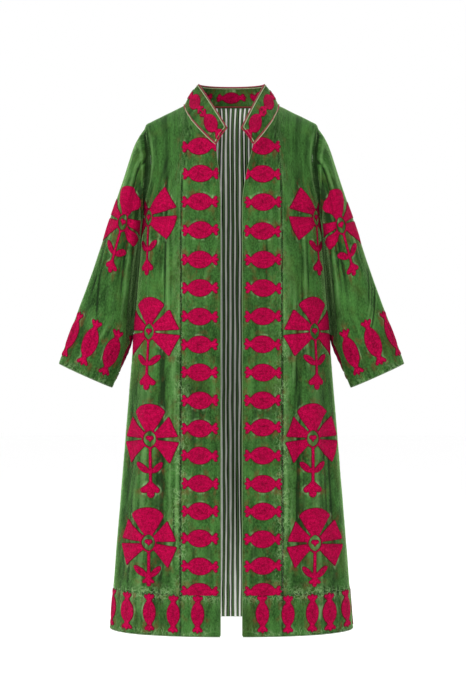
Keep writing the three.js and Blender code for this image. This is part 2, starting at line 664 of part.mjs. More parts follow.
// Cord along the collar's upper edge and down its two front ends.
function edgeCord(grid) {
  const rise = CORD_RADIUS + SEAM + CORD_SLACK;
  const last = grid.points.length - 1;
  const end = grid.points[0].length - 1;
  const beyond = (r, c, innerR, innerC) => grid.points[r][c].clone()
    .sub(grid.points[innerR][innerC]).normalize().multiplyScalar(rise);
  const points = [];
  const normals = [];
  const add = (r, c, ...shifts) => {
    points.push(shifts.reduce((p, shift) => p.add(shift), grid.points[r][c].clone()));
    normals.push(grid.normals[r][c]);
  };
  for (let r = 0; r < last; r++) add(r, 0, beyond(r, 0, r, 1));
  for (let c = 0; c <= end; c++) {
    const shifts = [beyond(last, c, last - 1, c)];
    if (c === 0) shifts.push(beyond(last, 0, last, 1));
    if (c === end) shifts.push(beyond(last, end, last, end - 1));
    add(last, c, ...shifts);
  }
  for (let r = last - 1; r >= 0; r--) add(r, end, beyond(r, end, r, end - 1));
  return cord(points, normals);
}

// Cord over the neck seam, against the outside of the collar's foot.
function seamCord(grid) {
  const out = COLLAR_WALL / 2 + CORD_RADIUS + SEAM + CORD_SLACK;
  const points = grid.points[0].map((p, c) => between(p, grid.points[1][c], SEAM_CORD_RISE)
    .addScaledVector(grid.normals[0][c], out));
  return cord(points, grid.normals[0]);
}

const coat = new THREE.Group();

function sew(name, geometry, material) {
  const mesh = new THREE.Mesh(geometry, material);
  mesh.name = name;
  coat.add(mesh);
}

const back = backGrid();
const fronts = { left: frontGrid('left'), right: frontGrid('right') };
const { velvet, lining, cord: cordColour } = MATERIALS;
const allRound = { bottom: true, top: true, start: true, end: true };

for (const side of ['left', 'right']) {
  const grid = fronts[side];
  const flip = side === 'right';
  const end = BAND_COLUMNS + SIDE_COLUMNS;
  const upper = [HEM_ROWS, topRow];
  const band = cut(grid, upper, [0, BAND_COLUMNS], { bottom: true, top: true, end: true });
  const panel = cut(grid, upper, [BAND_COLUMNS, end], allRound);
  const hem = cut(grid, [0, HEM_ROWS], [0, end], { top: true, end: true });
  sew(`front_band_${side}`, wall(band, WALL, { flip }), velvet);
  sew(`front_side_${side}`, wall(panel, WALL, { flip }), velvet);
  sew(`hem_front_${side}`, wall(hem, WALL, { flip }), velvet);
  sew(`sleeve_${side}`, wall(sleeveGrid(side, grid, back), WALL, { closed: true, flip }), velvet);
}

const hemEdges = { top: true, start: true, end: true };
const backPanel = cut(back, [HEM_ROWS, topRow], [0, backColumns], allRound);
const backHem = cut(back, [0, HEM_ROWS], [0, backColumns], hemEdges);
const backLining = cut(back, [0, topRow], [0, backColumns], allRound);
sew('back', wall(backPanel, WALL, { flip: true }), velvet);
sew('hem_back', wall(backHem, WALL, { flip: true }), velvet);
const liningOffset = -(WALL + LINING_WALL) / 2 - LINING_GAP;
sew('lining_back', wall(backLining, LINING_WALL, { offset: liningOffset, flip: true }), lining);

const collar = collarGrid(fronts, back);
sew('collar', wall(collar, COLLAR_WALL, { flip: true }), velvet);
sew('cord_collar_edge', edgeCord(collar), cordColour);
sew('cord_neck_seam', seamCord(collar), cordColour);

export default coat;
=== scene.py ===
"""The looks of a long open coat of embroidered velvet, filled out as when it is worn.

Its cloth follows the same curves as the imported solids, on a finer grid: two bands and two sides
in front, a back, a border round the hem, two sleeves and a stand collar. The embroidery, piping,
seams and striped back lining are sewn onto that grid.

Sizes are millimetres until a mesh is made. The fronts face -Y and the wearer's left is +X.
"""

import math

import bpy
import numpy as np
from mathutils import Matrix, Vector


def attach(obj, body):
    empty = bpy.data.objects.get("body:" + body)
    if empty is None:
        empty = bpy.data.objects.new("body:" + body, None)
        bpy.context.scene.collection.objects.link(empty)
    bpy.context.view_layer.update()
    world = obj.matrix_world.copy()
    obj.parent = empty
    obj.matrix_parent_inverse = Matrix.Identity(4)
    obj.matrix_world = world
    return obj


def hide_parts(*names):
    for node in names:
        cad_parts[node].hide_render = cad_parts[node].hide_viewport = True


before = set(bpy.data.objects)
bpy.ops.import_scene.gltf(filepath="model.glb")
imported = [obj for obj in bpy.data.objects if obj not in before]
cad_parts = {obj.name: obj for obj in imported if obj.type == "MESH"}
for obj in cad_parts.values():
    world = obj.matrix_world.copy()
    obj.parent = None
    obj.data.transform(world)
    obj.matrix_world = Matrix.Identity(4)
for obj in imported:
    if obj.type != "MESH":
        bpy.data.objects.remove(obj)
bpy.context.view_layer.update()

MM = 0.001
TURN = 2 * math.pi

# Cloth
VELVET_WALL = 2.0
LINING_WALL = 1.0
LINING_GAP = 0.7
COLLAR_WALL = 2.6
SEAM_SLACK = 0.05             # between the rounded edges of two pieces that are sewn together
# SHARP_BEND and HIGH_FOLD scale how folds are painted as highlight and shade, by bend and by
# height.
SHARP_BEND = 0.075
HIGH_FOLD = 17.0
PIPING_RADIUS = 1.5
PALE_PIPING_RADIUS = 1.05
WORN_EDGE_RADIUS = 0.8
WORN_EDGE_OUT = 0.7
WORN_EDGE_RISE = 0.6

# Body, as it is cut
HEM_Z = -1196
HEM_SEAM_Z = -1105
UNDERARM_Z = -240
UNDERARM_SIZE = {"half": 200, -1: 121, 1: 118}    # half width, front depth, back depth
HEM_SIZE = {"half": 278, -1: 150, 1: 152}
SQUARENESS = 2.3
EDGE_X = 25
BAND_WIDTH = 89

# Neck, shoulder and armhole
NECK = {"half": 108, "front": 112, "back": 72, "back_rise": 6, "drop": 100}
FRONT_NECK_X = {"left": 50, "right": 36}
SHOULDER_X, SHOULDER_Z = 195, -43
FRONT_NECK_FADE = 5
BACK_NECK_FADE = 12
ARMHOLE_DEPTH = {-1: 62, 1: 66}
ARMHOLE_INSET = {-1: 15, 1: 9}
ARMHOLE_CLEAR_Z = -120
UNDERARM_GAP = 2.5
UNDERARM_PUSH = 1.8
SLEEVE_GAP = 6
SLEEVE_START = 0.25

# Collar
COLLAR_TOP = {"half": 76, "back": 67, "side_z": 49, "back_z": 52, "tip_y": -115, "tip_z": -65}
COLLAR_TIP_X = {"left": 23, "right": 11}
COLLAR_ROLL = 2.5
COLLAR_FOOT = 0.3

# Grid: points every 2 to 3 mm. Cloth takes every second one, the lining every fourth.
BAND_COLUMNS = 36
SIDE_COLUMNS = 88
FRONT_COLUMNS = BAND_COLUMNS + SIDE_COLUMNS
NECK_COLUMNS = 48
SHOULDER_COLUMNS = 56
HALF_BACK = NECK_COLUMNS + SHOULDER_COLUMNS
NECK_SHARE = 6 / 13
HEM_ROWS = 40
SKIRT_ROWS = 344
YOKE_ROWS = 96
UNDERARM_ROW = HEM_ROWS + SKIRT_ROWS
TOP_ROW = UNDERARM_ROW + YOKE_ROWS
SLEEVE_ROWS = 240
SLEEVE_COLUMNS = 2 * YOKE_ROWS
COLLAR_ROWS = 24
ARC_STEPS = 240
CLOTH_STRIDE = 2
LINING_STRIDE = 4

SIDES = ("left", "right")
SIGN = {"left": 1, "right": -1}

SLEEVE = {
    "outer_x": (196, 222, 250, 283, 318, 350, 376, 396),
    "outer_z": (-43, -92, -176, -272, -378, -466, -536, -591),
    "inner_x": (200, 206, 214, 223, 230, 237, 255, 274),
    "inner_z": (-240, -272, -326, -398, -478, -548, -602, -646),
    "depth": (64, 69, 72, 68, 62, 56, 50, 45),
    "mid_y": (0, 2, 4, 6, 5, 3, 0, 0),
    "tuck": (0, 4, 16, 26, 24, 10, 0, 0),
}
STATIONS = len(SLEEVE["depth"])
TUCK_ANGLE = math.radians(235)

# Folds of the body. at: distance from the front edge, or from centre back, at the lower end.
# lean: how much further out the upper end lies. depth: out is positive. fade: length of the ends.
FOLD_COLUMNS = ("at", "lean", "reach", "depth", "low", "high", "fade")
FRONT_FOLDS = {
    "right": [
        (108, 4, 30, 3.5, -1090, -180, 160),
        (146, -20, 32, -5.0, -1240, -420, 180),
        (200, -36, 40, 5.5, -1240, -480, 200),
        (264, -56, 38, -5.0, -1240, -520, 220),
        (132, 6, 30, -4.0, -340, -70, 90),
        (44, 2, 36, -2.0, -1000, -330, 200),
        (118, 3, 9, 1.3, -560, -190, 120),
        (126, 2, 8, -1.4, -470, -150, 110),
        (166, -9, 11, -1.6, -900, -610, 110),
        (188, -14, 12, 1.5, -1240, -700, 130),
        (231, -22, 13, -1.5, -1240, -820, 120),
        (103, 5, 8, -1.3, -1096, -640, 120),
        (30, 4, 12, 0.9, -720, -240, 120),
        (62, -3, 13, -0.9, -1120, -560, 150),
    ],
    "left": [
        (104, 2, 28, 3.5, -1080, -260, 150),
        (138, -22, 32, -5.5, -1140, -540, 190),
        (178, -14, 34, 5.0, -1240, -430, 180),
        (236, -42, 38, -5.0, -1240, -560, 210),
        (138, -6, 30, -4.0, -370, -90, 90),
        (50, -6, 38, -2.0, -980, -180, 200),
        (114, 5, 9, 1.3, -700, -380, 110),
        (124, 9, 9, -1.5, -980, -620, 130),
        (150, -5, 10, 1.4, -640, -240, 120),
        (196, -20, 12, -1.7, -1240, -760, 130),
        (214, -16, 12, 1.3, -1100, -640, 120),
        (102, 3, 8, -1.2, -1096, -800, 110),
        (26, 6, 12, -0.9, -900, -420, 130),
        (68, -6, 12, 0.9, -640, -160, 110),
    ],
}
BACK_FOLDS = [
    (0, 0, 42, 5.0, -1240, -420, 260),
    (78, -16, 40, -6.0, -1240, -330, 240),
    (-70, 10, 40, -5.0, -1240, -480, 220),
    (156, -34, 44, 6.0, -1240, -520, 240),
    (-146, 30, 42, 6.5, -1240, -400, 230),
    (240, -58, 42, -5.5, -1240, -600, 210),
    (-232, 50, 42, -5.0, -1240, -560, 230),
    (116, 14, 36, -3.5, -400, -110, 110),
    (-122, -12, 36, -3.5, -420, -100, 110),
    (34, -8, 12, -1.5, -1240, -700, 150),
    (-42, 9, 12, 1.5, -1100, -560, 140),
    (112, -20, 13, 1.6, -1240, -640, 130),
    (-108, 16, 12, -1.5, -1240, -760, 130),
    (198, -38, 13, -1.6, -1240, -800, 120),
    (-190, 30, 12, 1.4, -1240, -690, 120),
    (84, 6, 11, -1.3, -420, -90, 100),
    (-92, -4, 11, 1.3, -380, -60, 90),
]

# Folds of the sleeves. angle: 0 outer edge, 90 front, 180 inner, 270 behind, at the upper end,
# turning by turn; start and end are stations of the sleeve table.
SLEEVE_FOLD_COLUMNS = ("angle", "turn", "reach", "depth", "start", "end")
SLEEVE_FOLDS = {
    "right": [
        (50, 14, 30, 5.0, 0.3, 3.4),
        (86, 22, 28, -6.0, 0.2, 3.8),
        (124, 10, 30, 4.5, 0.6, 6.0),
        (56, -14, 34, -3.5, 3.2, 6.8),
        (262, 16, 34, -5.0, 0.3, 4.2),
        (316, -10, 34, 4.5, 0.5, 5.2),
        (66, 9, 8, 1.7, 0.2, 2.4),
        (76, 4, 7, -1.6, 0.1, 1.8),
        (104, 16, 9, -1.6, 1.4, 4.6),
        (30, 12, 9, -1.4, 2.0, 4.8),
        (40, 46, 9, -1.6, 3.6, 5.3),
        (112, -30, 9, 1.3, 4.2, 6.0),
        (288, 14, 10, -1.5, 1.0, 5.0),
    ],
    "left": [
        (54, 10, 30, 5.0, 0.3, 3.0),
        (88, 18, 28, -6.0, 0.2, 4.2),
        (126, 6, 30, 4.5, 0.8, 5.6),
        (24, 36, 28, -4.0, 3.6, 5.6),
        (256, 20, 34, -5.0, 0.3, 4.4),
        (310, -12, 34, 4.5, 0.6, 5.0),
        (70, 8, 8, 1.7, 0.2, 2.6),
        (80, 4, 7, -1.6, 0.1, 1.9),
        (108, 12, 9, -1.6, 1.2, 4.2),
        (34, 8, 9, -1.5, 1.6, 4.0),
        (16, 60, 8, 1.7, 3.9, 5.0),
        (10, 70, 8, -1.9, 4.2, 5.4),
        (296, 8, 10, -1.5, 1.0, 5.0),
    ],
}

# Beside the armhole and side seams: strength (paler, or for cap out, is positive), distance from
# the seam and reach. All but cap are painted highlight and painted shade; cap is a height.
BESIDE_SEAM = {
    "armhole": ((1.1, 6, 4), (-0.4, 18, 9)),
    "side": ((0.8, 24, 22),),
    "cap": ((-7.5, 11, 11), (3.5, 27, 9)),
    "cap_painted_light": ((0.9, 26, 5), (-1.2, 7, 13)),
}
# The pile is coloured darker, as in shade, on the side of a sleeve by the body. turn: degrees that
# its edge moves at each station. Each fade is a start and a length, in stations.
SLEEVE_SHADE = {
    "strength": 2, "from_degrees": 88, "reach": 16, "turn": 11,
    "upper_fade": (0.2, 0.6), "lower_fade": (5.2, 0.8),
}


def mix(a, b, share):
    return a + (b - a) * share


def ramp(value, start, length):
    share = np.clip((value - start) / length, 0, 1)
    return share * share * (3 - 2 * share)


def bell(distance, reach):
    """1 at the middle of a fold and 0 at its reach."""
    return np.cos(np.minimum(1, np.abs(distance) / reach) * math.pi / 2) ** 2


def unit(vectors):
    return vectors / np.maximum(np.linalg.norm(vectors, axis=-1, keepdims=True), 1e-9)


def crumple(across, along, seed, size):
    """Small uneven waves, between about -1 and 1, longer along the cloth's nap than across it."""
    rng = np.random.default_rng(seed)
    height = np.zeros(np.broadcast(across, along).shape)
    for _ in range(7):
        pitch = size * rng.uniform(0.6, 1.7)
        slant = rng.uniform(-0.35, 0.35)
        phase = rng.uniform(0, TURN)
        wave = np.sin(TURN * (across + slant * along * 0.6) / pitch + phase) * rng.uniform(0.5, 1)
        height += wave * np.sin(TURN * along / (pitch * rng.uniform(2.5, 5)) + phase * 3)
    return height / 3.5


def fold_height(folds, distance, z):
    """How far each point of the body stands out of the plain form."""
    height = np.zeros(np.shape(z))
    for row in folds:
        fold = dict(zip(FOLD_COLUMNS, row))
        rise = ramp(z, fold["low"], fold["fade"]) * ramp(-z, -fold["high"], fold["fade"])
        middle = fold["at"] + fold["lean"] * (z - fold["low"]) / (fold["high"] - fold["low"])
        height += fold["depth"] * rise * bell(distance - middle, fold["reach"])
    return height


def seam_pull(distance, along, seed):
    """A seam sinks into the cloth, and its thread gathers the cloth beside it into puckers."""
    rng = np.random.default_rng(seed)
    pucker = sum(
        np.sin(TURN * along / rng.uniform(13, 24) + rng.uniform(0, TURN)) for _ in range(3)
    ) / 3
    near = np.exp(-(distance / 9) ** 2)
    return -0.7 * np.exp(-(distance / 3.2) ** 2) + 0.75 * near * pucker


def beside_seam(name, distance):
    """Ridges and valleys along a seam, as a height or as painted highlight and shade."""
    return sum(
        strength * bell(distance - away, reach) for strength, away, reach in BESIDE_SEAM[name])


def half_section(z, facing, start_x):
    """Half of the body's section at a height, from start_x to the side seam."""
    share = (UNDERARM_Z - z) / (UNDERARM_Z - HEM_Z)
    half = mix(UNDERARM_SIZE["half"], HEM_SIZE["half"], share)
    depth = mix(UNDERARM_SIZE[facing], HEM_SIZE[facing], share)
    power = 2 / SQUARENESS
    angle = np.linspace(math.asin((start_x / half) ** (1 / power)), math.pi / 2, ARC_STEPS + 1)
    x = half * np.sin(angle) ** power
    y = facing * depth * np.maximum(0, np.cos(angle)) ** power
    return np.stack([x, y, np.full_like(x, z)], axis=1)


def run_along(line):
    steps = np.linalg.norm(np.diff(line, axis=0), axis=1)
    return np.concatenate([[0], np.cumsum(steps)])


def evenly(line, start, end, columns):
    """Points at even distances along a line, from start to end."""
    run = run_along(line)
    distances = np.linspace(start, end, columns + 1)
    return np.stack([np.interp(distances, run, line[:, k]) for k in range(3)], axis=-1)


def side_row(arc, start, arm_depth, columns):
    """The section from a distance along it to where it is as near to the middle as the armhole."""
    end = np.interp(-arm_depth, -np.abs(arc[:, 1]), run_along(arc))
    return evenly(arc, start, end, columns)


def bow(row):
    """How far each point of a row lies from the straight line between its ends."""
    share = np.linspace(0, 1, len(row))[:, None]
    return row - mix(row[0], row[-1], share)


def armhole(angle, facing):
    rise = (1 - math.cos(angle)) / 2
    return np.array([
        mix(UNDERARM_SIZE["half"], SHOULDER_X, rise) - ARMHOLE_INSET[facing] * math.sin(angle) ** 3,
        facing * ARMHOLE_DEPTH[facing] * math.sin(angle),
        mix(UNDERARM_Z, SHOULDER_Z, rise),
    ])


def front_neck(share, side):
    """The neck seam in front, from the shoulder at 0 to the front edge at 1."""
    x = FRONT_NECK_X[side]
    return np.stack([
        x + (NECK["half"] - x) * (1 - share ** 1.3),
        -NECK["front"] * np.sin(math.pi / 2 * share ** 0.72),
        -NECK["drop"] * share ** 0.786,
    ], axis=-1)


def back_neck(share):
    """The neck seam behind, from centre back at 0 to the shoulder at 1."""
    angle = (1 - share) * math.pi / 2
    rise = NECK["back_rise"] * np.sin(angle) ** 1.5
    return np.stack([NECK["half"] * np.cos(angle), NECK["back"] * np.sin(angle), rise], axis=-1)


def lean(rise):
    """How the chest leans back towards the shoulder seam as it rises."""
    return max(0, 1 - rise ** 2.6) ** 0.6


def yoke_row(angle, facing, inner_columns, outer_columns, split, edge, neck_row, neck_fade):
    """One row above the underarm, from the front edge or centre back to the armhole."""
    rise = (1 - math.cos(angle)) / 2
    arc = half_section(mix(UNDERARM_Z, SHOULDER_Z, rise), facing, EDGE_X if facing < 0 else 0)
    if split is None:
        split = NECK_SHARE * run_along(arc)[-1]
    chest = evenly(arc, 0, split, inner_columns)
    start = edge(rise, chest[0])
    foot = chest[-1]
    seam = np.array([
        mix(foot[0], NECK["half"], rise),
        foot[1] * lean(rise),
        mix(UNDERARM_Z, 0, rise),
    ])
    share = np.linspace(0, 1, inner_columns + 1)[:, None]
    inner = mix(start, seam, share) + bow(chest) * (1 - ramp(rise, 0, 1))
    inner = inner + bow(neck_row) * rise ** neck_fade
    arm = armhole(angle, facing)
    arm_depth = max(abs(arm[1]), ARMHOLE_DEPTH[facing] if angle > math.pi / 2 else 0)
    bulge = 1 if angle < math.pi / 2 else math.sin(angle) ** 2
    share = np.linspace(0, 1, outer_columns + 1)[:, None]
    outer = mix(seam, arm, share) + bow(side_row(arc, split, arm_depth, outer_columns)) * bulge
    return np.concatenate([inner, outer[1:]])


HEIGHTS = np.concatenate([
    np.linspace(HEM_Z, HEM_SEAM_Z, HEM_ROWS, endpoint=False),
    np.linspace(HEM_SEAM_Z, UNDERARM_Z, SKIRT_ROWS + 1),
])
YOKE_ANGLES = np.linspace(0, math.pi, YOKE_ROWS + 1)[1:]


def skirt_row(z, facing, inner_columns, outer_columns, split):
    arc = half_section(z, facing, EDGE_X if facing < 0 else 0)
    length = run_along(arc)[-1]
    if split is None:
        split = NECK_SHARE * length
    inner = evenly(arc, 0, split, inner_columns)
    return np.concatenate([inner, evenly(arc, split, length, outer_columns)[1:]])


def panel_rows(cut, edge, neck_row, neck_fade):
    """Rows of half the body, from the hem to the shoulder.

    cut: which way it faces, the columns within the neck and beyond it, and where they meet.
    """
    rows = [skirt_row(z, *cut) for z in HEIGHTS]
    rows += [yoke_row(angle, *cut, edge, neck_row, neck_fade) for angle in YOKE_ANGLES]
    return np.array(rows)


def front_rows(side):
    neck_row = front_neck(np.linspace(1, 0, BAND_COLUMNS + 1), side)

    def edge(rise, chest):
        return np.array([
            mix(EDGE_X, neck_row[0, 0], rise ** 1.6),
            mix(chest[1], neck_row[0, 1], rise),
            mix(UNDERARM_Z, neck_row[0, 2], rise),
        ])

    cut = (-1, BAND_COLUMNS, SIDE_COLUMNS, BAND_WIDTH)
    return panel_rows(cut, edge, neck_row, FRONT_NECK_FADE)


def half_back_rows():
    neck_row = back_neck(np.linspace(0, 1, NECK_COLUMNS + 1))

    def edge(rise, chest):
        return np.array([
            0,
            mix(NECK["back"], chest[1], lean(rise)),
            mix(UNDERARM_Z, neck_row[0, 2], rise),
        ])

    return panel_rows((1, NECK_COLUMNS, SHOULDER_COLUMNS, None), edge, neck_row, BACK_NECK_FADE)


def normals_of(points, outwards):
    across = np.empty_like(points)
    across[:, 1:-1] = points[:, 2:] - points[:, :-2]
    across[:, 0] = points[:, 1] - points[:, 0]
    across[:, -1] = points[:, -1] - points[:, -2]
    up = np.empty_like(points)
    up[1:-1] = points[2:] - points[:-2]
    up[0] = points[1] - points[0]
    up[-1] = points[-1] - points[-2]
    return unit(np.cross(across, up)) * outwards


class Grid:
    """Cloth as rows and columns of points, with normals, and each point's place on the flat cloth.

    The last field is 1 on the sharp top of a fold and -1 in a sharp hollow: painted highlight and
    shade.
    """

    def __init__(self, points, normals, flat, painted_light):
        self.points, self.normals, self.flat, self.painted_light = points, normals, flat, painted_light

    def part(self, rows, columns, stride=1):
        r = slice(rows[0], rows[1] + 1, stride)
        c = slice(columns[0], columns[1] + 1, stride)
        return Grid(self.points[r, c], self.normals[r, c], self.flat[r, c], self.painted_light[r, c])

    def thinned(self, stride):
        rows, columns = self.points.shape[:2]
        return self.part((0, rows - 1), (0, columns - 1), stride)

    def turned_in(self):
        return Grid(self.points, -self.normals, self.flat, -self.painted_light)


def crease_of(height, distance):
    """How sharply the cloth bends across its columns, and a little of how far it stands out."""
    step = np.maximum(np.abs(np.diff(distance, axis=1)), 0.5)
    slope = np.diff(height, axis=1) / step
    bend = np.zeros_like(height)
    bend[:, 1:-1] = np.diff(slope, axis=1) / (0.5 * (step[:, 1:] + step[:, :-1]))
    # Painted highlight on ridges and painted shade in valleys follow this value.
    return np.clip(height / HIGH_FOLD - bend / SHARP_BEND, -1, 1)


def drape(rows, outwards, folds, distance, seams, seed):
    plain = normals_of(rows, outwards)
    z = rows[..., 2]
    height = fold_height(folds, distance, z) + seams
    height += 0.55 * crumple(distance, z, seed, 34)
    points = rows + plain * height[..., None]
    flat = np.stack([distance, z], axis=-1)
    return Grid(points, normals_of(points, outwards), flat, crease_of(height, distance))


def distances_along(rows, origin=0):
    steps = np.linalg.norm(np.diff(rows, axis=1), axis=2)
    run = np.concatenate([np.zeros((len(rows), 1)), np.cumsum(steps, axis=1)], axis=1)
    return run - run[:, origin:origin + 1]


SIDE_SEAM_SEED = 5            # the same on both pieces, so that their puckers meet


def front_grid(side):
    rows = front_rows(side)
    distance = distances_along(rows)
    z = rows[..., 2]
    seed = 11 if side == "left" else 23
    seams = seam_pull(distance - BAND_WIDTH, z, seed)
    seams = seams + seam_pull(z - HEM_SEAM_Z, distance, seed + 1)
    side_seam = seam_pull(distance[:, -1:] - distance, z, SIDE_SEAM_SEED)
    seams += side_seam + 0.6 * seam_pull(distance + 2, z, seed + 2)
    turned = rows * np.array([SIGN[side], 1, 1])
    grid = drape(turned, SIGN[side], FRONT_FOLDS[side], distance, seams, seed)
    chest, above = rows[UNDERARM_ROW, :, 0], rows[UNDERARM_ROW:, :, 0]
    grid.flat[UNDERARM_ROW:, :, 0] = np.interp(above, chest, distance[UNDERARM_ROW])
    from_armhole = distance[:, -1:] - distance
    rise = ramp(z, UNDERARM_Z - 60, 90) * ramp(-z, 55, 25)
    # Painted highlight and painted shade in lines along the armhole and side seams, with no fold
    # there.
    grid.painted_light += rise * beside_seam("armhole", from_armhole)
    grid.painted_light += ramp(-z, 500, 200) * beside_seam("side", from_armhole)
    return grid


def back_grid():
    half = half_back_rows()
    rows = np.concatenate([(half * np.array([-1, 1, 1]))[:, :0:-1], half], axis=1)
    distance = distances_along(rows, HALF_BACK)
    z = rows[..., 2]
    seams = seam_pull(distance - distance[:, :1], z, SIDE_SEAM_SEED)
    seams = seams + seam_pull(distance[:, -1:] - distance, z, SIDE_SEAM_SEED)
    seams += seam_pull(z - HEM_SEAM_Z, distance, 41)
    return drape(rows, -1, BACK_FOLDS, distance, seams, 37)


def station(name, t):
    """A value of the sleeve table at stations t, on a smooth curve through its entries."""
    values = np.array(SLEEVE[name], float)
    i = np.clip(np.floor(t).astype(int), 0, STATIONS - 2)
    a, b, c, d = (values[np.clip(i + k, 0, STATIONS - 1)] for k in (-1, 0, 1, 2))
    u = t - i
    return b + 0.5 * u * (c - a + u * (2 * a - 5 * b + 4 * c - d + u * (3 * (b - c) + d - a)))


def body_half_width(y, z):
    share = np.maximum(0, (UNDERARM_Z - z) / (UNDERARM_Z - HEM_Z))
    half = mix(UNDERARM_SIZE["half"], HEM_SIZE["half"], share)
    front, back = (mix(UNDERARM_SIZE[k], HEM_SIZE[k], share) for k in (-1, 1))
    depth = np.where(y < 0, front, back)
    return half * np.maximum(0, 1 - (np.abs(y) / depth) ** SQUARENESS) ** (1 / SQUARENESS)


def sleeve_point(t, angle):
    out = (1 + np.cos(angle)) / 2
    tuck = station("tuck", t) * np.maximum(0, np.cos(angle - TUCK_ANGLE)) ** 2
    y = station("mid_y", t) - station("depth", t) * np.sin(angle)
    z = mix(station("inner_z", t), station("outer_z", t), out)
    x = mix(station("inner_x", t), station("outer_x", t), out) - tuck
    gap = mix(UNDERARM_GAP, SLEEVE_GAP, np.clip(t - 0.6, 0, 1))
    x = np.maximum(x, body_half_width(y, z) + gap)
    return np.stack(np.broadcast_arrays(x, y, z), axis=-1)


def sleeve_fold(folds, t, degrees):
    height = np.zeros(np.broadcast(t, degrees).shape)
    for row in folds:
        fold = dict(zip(SLEEVE_FOLD_COLUMNS, row))
        along = np.clip((t - fold["start"]) / (fold["end"] - fold["start"]), 0, 1)
        away = (degrees - fold["angle"] - fold["turn"] * along + 540) % 360 - 180
        height += fold["depth"] * np.sin(math.pi * along) ** 0.8 * bell(away, fold["reach"])
    return height


def armhole_edge(front, back, sign):
    """The armhole's points, from the underarm up the front to the shoulder and down behind."""
    column = 2 * HALF_BACK if sign > 0 else 0
    up = front.points[UNDERARM_ROW:, -1]
    down = back.points[UNDERARM_ROW:-1, column][::-1]
    return np.concatenate([up, down])


def sleeve_grid(side, front, back):
    """The sleeve opened along its underarm seam. Rows run from the armhole to the cuff."""
    sign = SIGN[side]
    mirror = np.array([sign, 1, 1])
    t = np.linspace(0, STATIONS - 1, SLEEVE_ROWS + 1)[:, None]
    angle = np.linspace(math.pi, -math.pi, SLEEVE_COLUMNS + 1)[None, :]
    plain = sleeve_point(t, angle) * mirror
    edge = armhole_edge(front, back, sign)
    first = sleeve_point(np.zeros_like(angle), angle)[0] * mirror
    along = unit(sleeve_point(np.full_like(angle, SLEEVE_START), angle)[0] * mirror - first)
    turning = unit(np.roll(edge, -1, 0) - np.roll(edge, 1, 0))
    turning[0] = turning[-1] = unit(edge[1] - edge[-2])
    along = unit(along - turning * np.sum(along * turning, axis=1, keepdims=True))
    start = edge + along * 0.2
    inside = sign * start[:, 0] - body_half_width(start[:, 1], start[:, 2]) - UNDERARM_GAP
    push = np.where((inside < 0) & (start[:, 2] < ARMHOLE_CLEAR_Z), -inside, 0)
    start[:, 0] += sign * (push + UNDERARM_PUSH * np.maximum(0, -np.cos(angle[0])))
    near = (np.maximum(0, 1 - t) ** 2)[..., None]
    plain = plain + (start - first)[None] * near
    steps = np.linalg.norm(np.diff(plain, axis=0), axis=2)
    to_cuff = np.cumsum(steps[::-1], axis=0)[::-1]
    length = np.concatenate([to_cuff, np.zeros((1, plain.shape[1]))])
    distance = distances_along(plain, SLEEVE_COLUMNS // 4)
    normals = normals_of(plain, -sign)
    degrees = np.degrees(angle)
    height = sleeve_fold(SLEEVE_FOLDS[side], t, degrees)
    height += 0.5 * crumple(distance, length, 53 + sign, 36) * np.minimum(1, t)
    seed = 61 + sign
    height += seam_pull(distance - distance[:, :1], length, seed) * np.minimum(1, t)
    height += seam_pull(distance[:, -1:] - distance, length, seed) * np.minimum(1, t)
    height += 0.8 * seam_pull(length + 2, distance, seed + 7)
    from_seam = length[:1] - length
    facing = ramp(np.sin(angle), 0.15, 0.5)
    height += facing * beside_seam("cap", from_seam)
    points = plain + normals * height[..., None]
    flat = np.stack([distance, length], axis=-1)
    painted_light = crease_of(height, distance)
    # Painted highlight and painted shade in lines beside the sleeve's top seam.
    painted_light += facing * beside_seam("cap_painted_light", from_seam)
    shade = SLEEVE_SHADE
    from_outside = np.abs(degrees) - shade["turn"] * t
    by_body = ramp(from_outside, shade["from_degrees"], shade["reach"])
    end, fade = shade["lower_fade"]
    painted_light -= shade["strength"] * by_body * ramp(t, *shade["upper_fade"]) * ramp(-t, -end, fade)
    return Grid(points, normals_of(points, -sign), flat, np.clip(painted_light, -1, 1))


def collar_top_behind(share):
    angle = (1 - share) * math.pi / 2
    return np.stack([
        COLLAR_TOP["half"] * np.cos(angle),
        COLLAR_TOP["back"] * np.sin(angle),
        mix(COLLAR_TOP["side_z"], COLLAR_TOP["back_z"], np.sin(angle)),
    ], axis=-1)


def collar_top_in_front(share, side):
    return np.stack([
        mix(COLLAR_TOP["half"], COLLAR_TIP_X[side], share),
        COLLAR_TOP["tip_y"] * share,
        mix(COLLAR_TOP["side_z"], COLLAR_TOP["tip_z"], share ** 1.05),
    ], axis=-1)


def neck_half(side, front, back):
    """Half of the neck seam, from centre back to the front edge, and the collar's edge over it."""
    sign = SIGN[side]
    columns = HALF_BACK + sign * np.arange(NECK_COLUMNS)
    seam = np.concatenate([back.points[-1, columns], front.points[-1, BAND_COLUMNS::-1]])
    top = np.concatenate([
        collar_top_behind(np.linspace(0, 1, NECK_COLUMNS, endpoint=False)),
        collar_top_in_front(np.linspace(0, 1, BAND_COLUMNS + 1), side),
    ])
    return seam, top * np.array([sign, 1, 1])


